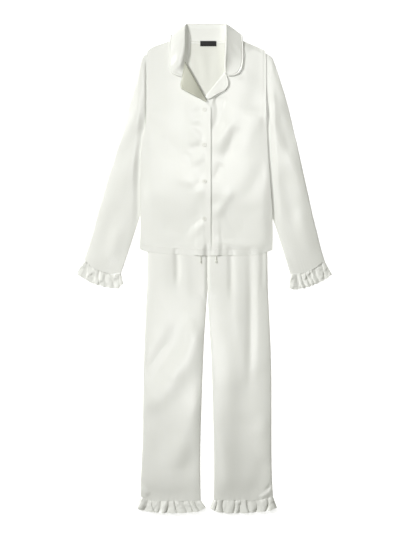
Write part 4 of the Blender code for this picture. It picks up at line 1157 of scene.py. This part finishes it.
def cuff_ruffle(side):
    """Frill at the end of a sleeve, one seam gap away from it."""
    outer = points_of(SLEEVES[side], "outer_x", "outer_y")[-1]
    inner = points_of(SLEEVES[side], "inner_x", "inner_y")[-1]
    away = GAP * downhill(inner - outer)
    ruffle("cuff_ruffle_" + side, outer + away, inner + away, CUFFS[side], OUTWARD[side])


def hem_ruffle(side):
    """Frill at the end of a trouser leg."""
    outer = np.array((leg_edge(side + "_outer", LEG_HEM), LEG_HEM - GAP))
    inner = np.array((leg_edge(side + "_inner", LEG_HEM), LEG_HEM - GAP))
    ruffle("hem_ruffle_" + side, outer, inner, HEMS[side], OUTWARD[side])


# ---------------------------------------------------------------- collar and lapels

def edge_band(distance):
    """Relief of an edge-stitched border: a rounded cord-like band, then a stitched groove 6 mm in."""
    band = 0.45 * np.exp(-((distance - 2.8) / 2.0) ** 2)
    groove = 0.8 * np.exp(-((distance - 6.3) / 1.1) ** 2)
    return band - groove


def collar():
    """Collar: sections of stand, roll and fall, carried round the neck from one end to the other."""
    rows = read(COLLAR)
    half = TRIM_WALL / 2
    seam, roll, edge = (points_of(COLLAR, line + "_x", line + "_y") for line in ("seam", "roll", "edge"))
    over = rows["over"][:, None]
    out, fall = unit(roll - seam), unit(edge - roll)
    side = np.sign(rows["roll_x"] - 7)[:, None]
    outwards = np.concatenate((0.55 * side, np.full(side.shape, 0.84)), axis=1)
    bulge = SHOULDER_BULGE * np.sin(math.pi * over) * outwards
    right_wing = side < 0
    roll_z = rows["roll_z"][:, None]
    neck_z = support(seam[:, :1], seam[:, 1:]) + half
    stand = roll - seam
    stations = [
        (seam, seam, neck_z, neck_z + WALL + GAP + 0.2),
        (seam + 0.55 * stand, seam + 0.5 * stand, neck_z + 0.9, 0.72 * neck_z + 0.28 * roll_z),
        (roll - 2.6 * out, roll - 1.6 * out, 4.9 + 0 * roll_z, 0.3 * neck_z + 0.7 * roll_z),
        (roll, roll, 2.9 + 0 * roll_z, roll_z),
        (roll - 2.6 * out, roll + 2.0 * fall, half + 0 * roll_z, roll_z + 0.3),
    ]
    # Near its front end the right wing swells to a crest and dips to its roll; higher up it falls
    # evenly; the left one falls steeply from the roll and flattens towards its edge
    front_end = ramp(rows["roll_y"][:, None], 655, 592)
    left_power = 1.35 + 1.5 * ramp(rows["roll_y"][:, None], 650, 575)
    for share in (0.1, 0.2, 0.3, 0.42, 0.55, 0.68, 0.8, 0.9, 1.0):
        spot = roll + share * (edge - roll)
        rest = front_plain(spot[:, :1], spot[:, 1:], spot[:, 1:] + 100, 1) + GAP + half + 0.5
        rest = rest + np.where(right_wing, 3.4, 0.0) * ramp(edge[:, :1], -97, -72)
        settle = np.where(right_wing, share ** 1.3, 1 - (1 - share) ** left_power)
        crest = np.where(right_wing, (0.8 + 5.6 * front_end) * ramp(edge[:, :1], -60, -94), 0.0)
        crest = crest * math.sin(math.pi * share ** 0.8)
        stations.append((spot, spot, half + 0 * roll_z, roll_z + (rest - roll_z) * settle + crest))
    middle = []
    for back_plan, front_plan, back_z, front_z in stations:
        plan = (1 - over) * back_plan + over * front_plan + bulge
        middle.append(np.concatenate((plan, (1 - over) * back_z + over * front_z), axis=1))
    middle = np.stack(middle, axis=1)
    # Finer sections round the neck, then finer stations across each section
    fine = softened(middle.reshape(len(middle), -1), 330, 5).reshape(330, -1, 3)
    span = np.concatenate((np.zeros((len(fine), 1)),
                           np.cumsum(np.linalg.norm(np.diff(fine, axis=1), axis=2), axis=1)), axis=1)
    t = np.concatenate((np.linspace(0, 0.86, 52), np.linspace(0.88, 0.985, 12), (0.992, 0.997, 1.0)))
    grid = np.stack([np.stack([np.interp(t * reach[-1], reach, line[:, axis]) for axis in range(3)], axis=1)
                     for reach, line in zip(span, fine)])
    grid = averaged(grid.swapaxes(0, 1), 2).swapaxes(0, 1)
    from_edge = (1 - t)[None, :] * span[:, -1:]
    run = travelled(grid[:, -1])
    from_end = np.minimum(run, run[-1] - run)[:, None] + 0.6 * from_edge
    distance = np.minimum(from_edge, from_end)
    relief = edge_band(distance) * ramp(from_edge, 60, 40)
    normal = normals(grid)
    up = np.where(normal[:, -8:, 2].mean(axis=1)[:, None, None] > 0, 1, -1)
    shell = grid + normal * up * (relief + half)[..., None]
    shell = shell - normal * up * turned_edge(from_edge, TRIM_RADIUS)[..., None]
    item = wall("collar_cloth", shell, TRIM_PLY, SATIN, outward=int(np.sign(up.mean())))
    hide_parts("collar")


def lapel(side):
    """Turned-back facing: rolls over from the front edge, rises softly and settles at its outer edge."""
    count = 64
    path = softened(points_of(LAPELS[side], "roll_x", "roll_y", "edge_x", "edge_y"), count, 3)
    roll, edge = path[:, :2], path[:, 2:]
    width = np.linalg.norm(edge - roll, axis=1)[:, None]
    t = np.concatenate(((0.0, 0.004, 0.012, 0.03, 0.06), np.linspace(0.09, 0.8, 18),
                        (0.84, 0.88, 0.92, 0.95, 0.975, 0.99, 1.0)))[None, :]
    x = roll[:, :1] + (edge - roll)[:, :1] * t
    y = roll[:, 1:] + (edge - roll)[:, 1:] * t
    along = np.linspace(0, 1, count)[:, None]
    rest = front_plain(x, y, y + 100, 1 if side == "right" else 0) + 0.9
    size = ramp(width, 4, 26)
    if side == "right":
        rise_roll = 0.2 + 1.6 * ramp(along, 0.9, 0.1)
        rise_edge = (2.8 + 7.0 * ramp(along, 0.06, 0.5)) * ramp(along, 1.0, 0.66)
    else:
        rise_roll = -FRONT_SINK + 0 * along
        rise_edge = 0.5 + 0.9 * ramp(along, 0.0, 0.25) * ramp(along, 1.0, 0.7)
    rise_z = rise_roll + (rise_edge - rise_roll) * t + 0.5 * np.sin(math.pi * t) * size
    from_edge = np.minimum((1 - t) * width, (along * count) + 2)
    z = rest + TRIM_PLY + rise_z + 0.7 * edge_band(from_edge) * size
    roundness = 1.1 if side == "right" else 0.25
    z = z - turned_edge((1 - t) * width, TRIM_RADIUS) - turned_edge(t * width, 3.0) * roundness
    # The right lapel takes the darker satin copy: painted shade on that lapel
    finish = SATIN_PAINTED_SHADE if side == "right" else SATIN
    item = wall("lapel_" + side + "_cloth", np.stack((x, y, z), axis=-1), TRIM_PLY, finish,
                outward=OUTWARD[side])
    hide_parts("lapel_" + side)


# ---------------------------------------------------------------- label, buttons, stitches

def neck_label():
    """Woven tape sewn flat under the neck seam, its two ends folded under."""
    wide, tall = LABEL["right"] - LABEL["left"], LABEL["high"] - LABEL["low"]
    lips = (0.0, 0.2, 0.5, 1.0)
    u, v = spaced(wide, 2.0, lips)[None, :], spaced(tall, 2.0, lips)[:, None]
    x = LABEL["left"] + wide * u + 0 * v
    y = LABEL["low"] + tall * v + 0 * u
    ends = np.minimum(u, 1 - u) * wide
    z = support(x, y) + 2.6 + 0.35 * np.exp(-((ends - 1.2) / 1.4) ** 2)
    z = z - turned_edge(ends + 0 * v, 0.5) + 0.25 * np.sin(x / 9)
    item = wall("neck_label_tape", np.stack((x, y, z), axis=-1), 0.5, TAPE)
    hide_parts("neck_label")


def button(number, y):
    """Four-hole button: a dished turned disc, with holes pressed in and thread crossing them."""
    count = 72
    angle = np.linspace(0, 2 * math.pi, count, endpoint=False)[None, :]
    foot_x = BUTTON_X + BUTTON_R * np.cos(angle)
    foot_y = y + BUTTON_R * np.sin(angle)
    seat = settled(foot_x, foot_y, front_face(foot_x, foot_y, 1), 3).max() + 0.15
    # Rings of the face from the middle out, then of the rim and the underside
    rim_r = (BUTTON_R - 0.15, BUTTON_R, BUTTON_R, BUTTON_R - 0.25, BUTTON_R - 0.9, 3.0, 0.02)
    rim_z = (1.2, 1.0, 0.6, 0.3, 0.1, 0.0, 0.0)
    r = np.concatenate((np.linspace(0.02, BUTTON_R - 1.7, 26),
                        np.linspace(BUTTON_R - 1.5, BUTTON_R - 0.4, 8), rim_r))[:, None]
    z = np.interp(r, (0, 3.4, 4.3, 4.9, 5.4, 5.8, 6.0), (1.15, 1.18, 1.35, 1.5, 1.5, 1.35, 1.1)) + 0 * angle
    face = slice(0, -len(rim_z))
    z[-len(rim_z):] = np.array(rim_z)[:, None]
    x = r * np.cos(angle)
    across = r * np.sin(angle)
    for sign_x, sign_y in ((1, 1), (1, -1), (-1, 1), (-1, -1)):
        away = np.hypot(x - HOLE_SPREAD * sign_x, across - HOLE_SPREAD * sign_y)
        z[face] -= (0.9 * ramp(away, 0.75, 0.4))[face]
    grid = np.stack((BUTTON_X + x, y + across, seat + z), axis=-1)
    corners, _, _ = quads(len(r), count, True)
    item = make_mesh(f"button_{number}_turned", grid.reshape(-1, 3), corners[:, ::-1], sharp=50)
    dressed(item, PEARL)
    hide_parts(f"button_{number}")
    # Two threads cross over the holes, the second on top of the first
    t = np.linspace(0, 1, 15)[:, None]
    for place, spread in enumerate((HOLE_SPREAD, -HOLE_SPREAD)):
        start = np.array((BUTTON_X - spread, y - HOLE_SPREAD, seat + 0.6))
        end = np.array((BUTTON_X + spread, y + HOLE_SPREAD, seat + 0.6))
        path = start + (end - start) * t + UPWARDS * (np.sin(math.pi * t) ** 0.5) * (0.85 + 0.25 * place)
        tube_along(f"button_{number}_thread_{place + 1}", path, 0.3, 8, THREAD)


def stitches(name, path, pitch=2.6, long=1.9, wide=0.42, tall=0.22):
    """Row of lockstitches: one small pointed lozenge for each pitch, laid along the path."""
    reach = travelled(path)
    at = np.arange(pitch / 2, reach[-1] - pitch / 2, pitch)
    centre = np.stack([np.interp(at, reach, line) for line in path.T], axis=1)
    ahead = unit(np.stack([np.interp(at + 0.8, reach, line) for line in path.T], axis=1) - centre)
    side = unit(np.cross(UPWARDS + 0 * ahead, ahead))
    up = np.cross(ahead, side)
    # Ten corners: a tip, two rings of four and the other tip
    local = np.array(((-0.5, 0, -0.1), (-0.22, 0.5, 0), (-0.22, 0, 1), (-0.22, -0.5, 0), (-0.22, 0, -0.6),
                      (0.22, 0.5, 0), (0.22, 0, 1), (0.22, -0.5, 0), (0.22, 0, -0.6), (0.5, 0, -0.1)))
    local = local * np.array((long, wide, tall))
    points = (centre[:, None] + local[None, :, :1] * ahead[:, None] + local[None, :, 1:2] * side[:, None]
              + local[None, :, 2:] * up[:, None])
    ring = np.array(((1, 2, 6, 5), (2, 3, 7, 6), (3, 4, 8, 7), (4, 1, 5, 8),
                     (0, 2, 1, 0), (0, 3, 2, 0), (0, 4, 3, 0), (0, 1, 4, 0),
                     (9, 5, 6, 9), (9, 6, 7, 9), (9, 7, 8, 9), (9, 8, 5, 9)))
    faces = (ring[None] + 10 * np.arange(len(at))[:, None, None]).reshape(-1, 4).tolist()
    faces = [face[:3] if face[0] == face[3] else face for face in faces]
    mesh = bpy.data.meshes.new(name)
    mesh.from_pydata((points.reshape(-1, 3) * MM).tolist(), [], faces)
    mesh.shade_smooth()
    item = bpy.data.objects.new(name, mesh)
    bpy.context.collection.objects.link(item)
    return dressed(item, THREAD)


def front_seams():
    """Rows of stitches along the hems of both fronts, as far as each front shows."""
    for side, laps_over, start, end in (("right", 1, -180.0, 17.0), ("left", 0, 192.0, 21.0)):
        x = np.linspace(start, end, 160)
        y = look_up(SHIRT_HEM, "x", "y", x) + HEM_STITCH
        z = settled(x, y, front_face(x, y, laps_over, y + 500), 2 + laps_over) - 0.3
        stitches("hem_stitches_" + side, np.stack((x, y, z), axis=1))


def on_both_sides(*pieces, sides=("right", "left")):
    """Makes each piece on both sides."""
    for piece in pieces:
        for side in sides:
            piece(side)


on_both_sides(trouser_back, trouser_front)
waistband()
on_both_sides(drawstring, hem_ruffle, sleeve, cuff_ruffle)
shirt_back()
on_both_sides(shirt_front, sides=("left", "right"))
collar()
on_both_sides(lapel, sides=("left", "right"))
neck_label()
for number, y in enumerate(BUTTON_ROWS, start=1):
    button(number, y)
front_seams()


# ---------------------------------------------------------------- floor and light

def set_stage():
    """White floor that gives off a little light of its own, so that shadows on it stay pale."""
    mesh = bpy.data.meshes.new("floor")
    reach, low = 40, -0.0005
    corners = [(reach * x, reach * y, low) for x, y in ((-1, -1), (1, -1), (1, 1), (-1, 1))]
    mesh.from_pydata(corners, [], [(0, 1, 2, 3)])
    floor = bpy.data.objects.new("floor", mesh)
    bpy.context.scene.collection.objects.link(floor)
    material, tree, shader = new_material("paper_sweep_white", Roughness=0.9, Specular_IOR_Level=0.0,
                                          Emission_Color=(1, 1, 1, 1), Emission_Strength=0.7)
    tinted(tree, shader, "#fafafa", "#f6f6f6", noise(tree, where(tree, "Object"), 40.0, 3.0))
    mesh.materials.append(material)


def set_lights():
    """Key from the upper left for relief, low softboxes for local lustre, and a dim even ambient."""
    lamps = (
        ("key", 1.1, (-3.6, 2.4, 3.0), 213),
        ("softbox", 0.5, (0.07, 0.52, 1.0), 3.1),
        ("waist_softbox", 0.3, (-0.09, -0.27, 0.8), 1.3),
        ("hem_softbox", 0.5, (-0.13, -0.68, 1.2), 0.9),
    )
    for name, size, place, power in lamps:
        light = bpy.data.lights.new(name, "AREA")
        light.shape = "DISK"
        light.size = size
        light.energy = power
        item = bpy.data.objects.new(name, light)
        item.location = place
        lean = 0.0 if name == "key" else 0.6
        aim = Vector((place[0] * lean, place[1] * lean, 0))
        item.rotation_euler = (aim - Vector(place)).to_track_quat("-Z", "Y").to_euler()
        item.visible_camera = False
        bpy.context.scene.collection.objects.link(item)
    world = bpy.data.worlds.new("studio")
    world.use_nodes = True
    world.node_tree.nodes["Background"].inputs["Color"].default_value = (1, 1, 0.66, 1)
    world.node_tree.nodes["Background"].inputs["Strength"].default_value = 0.07
    bpy.context.scene.world = world
    bpy.context.scene.view_settings.view_transform = "Standard"


set_stage()
set_lights()
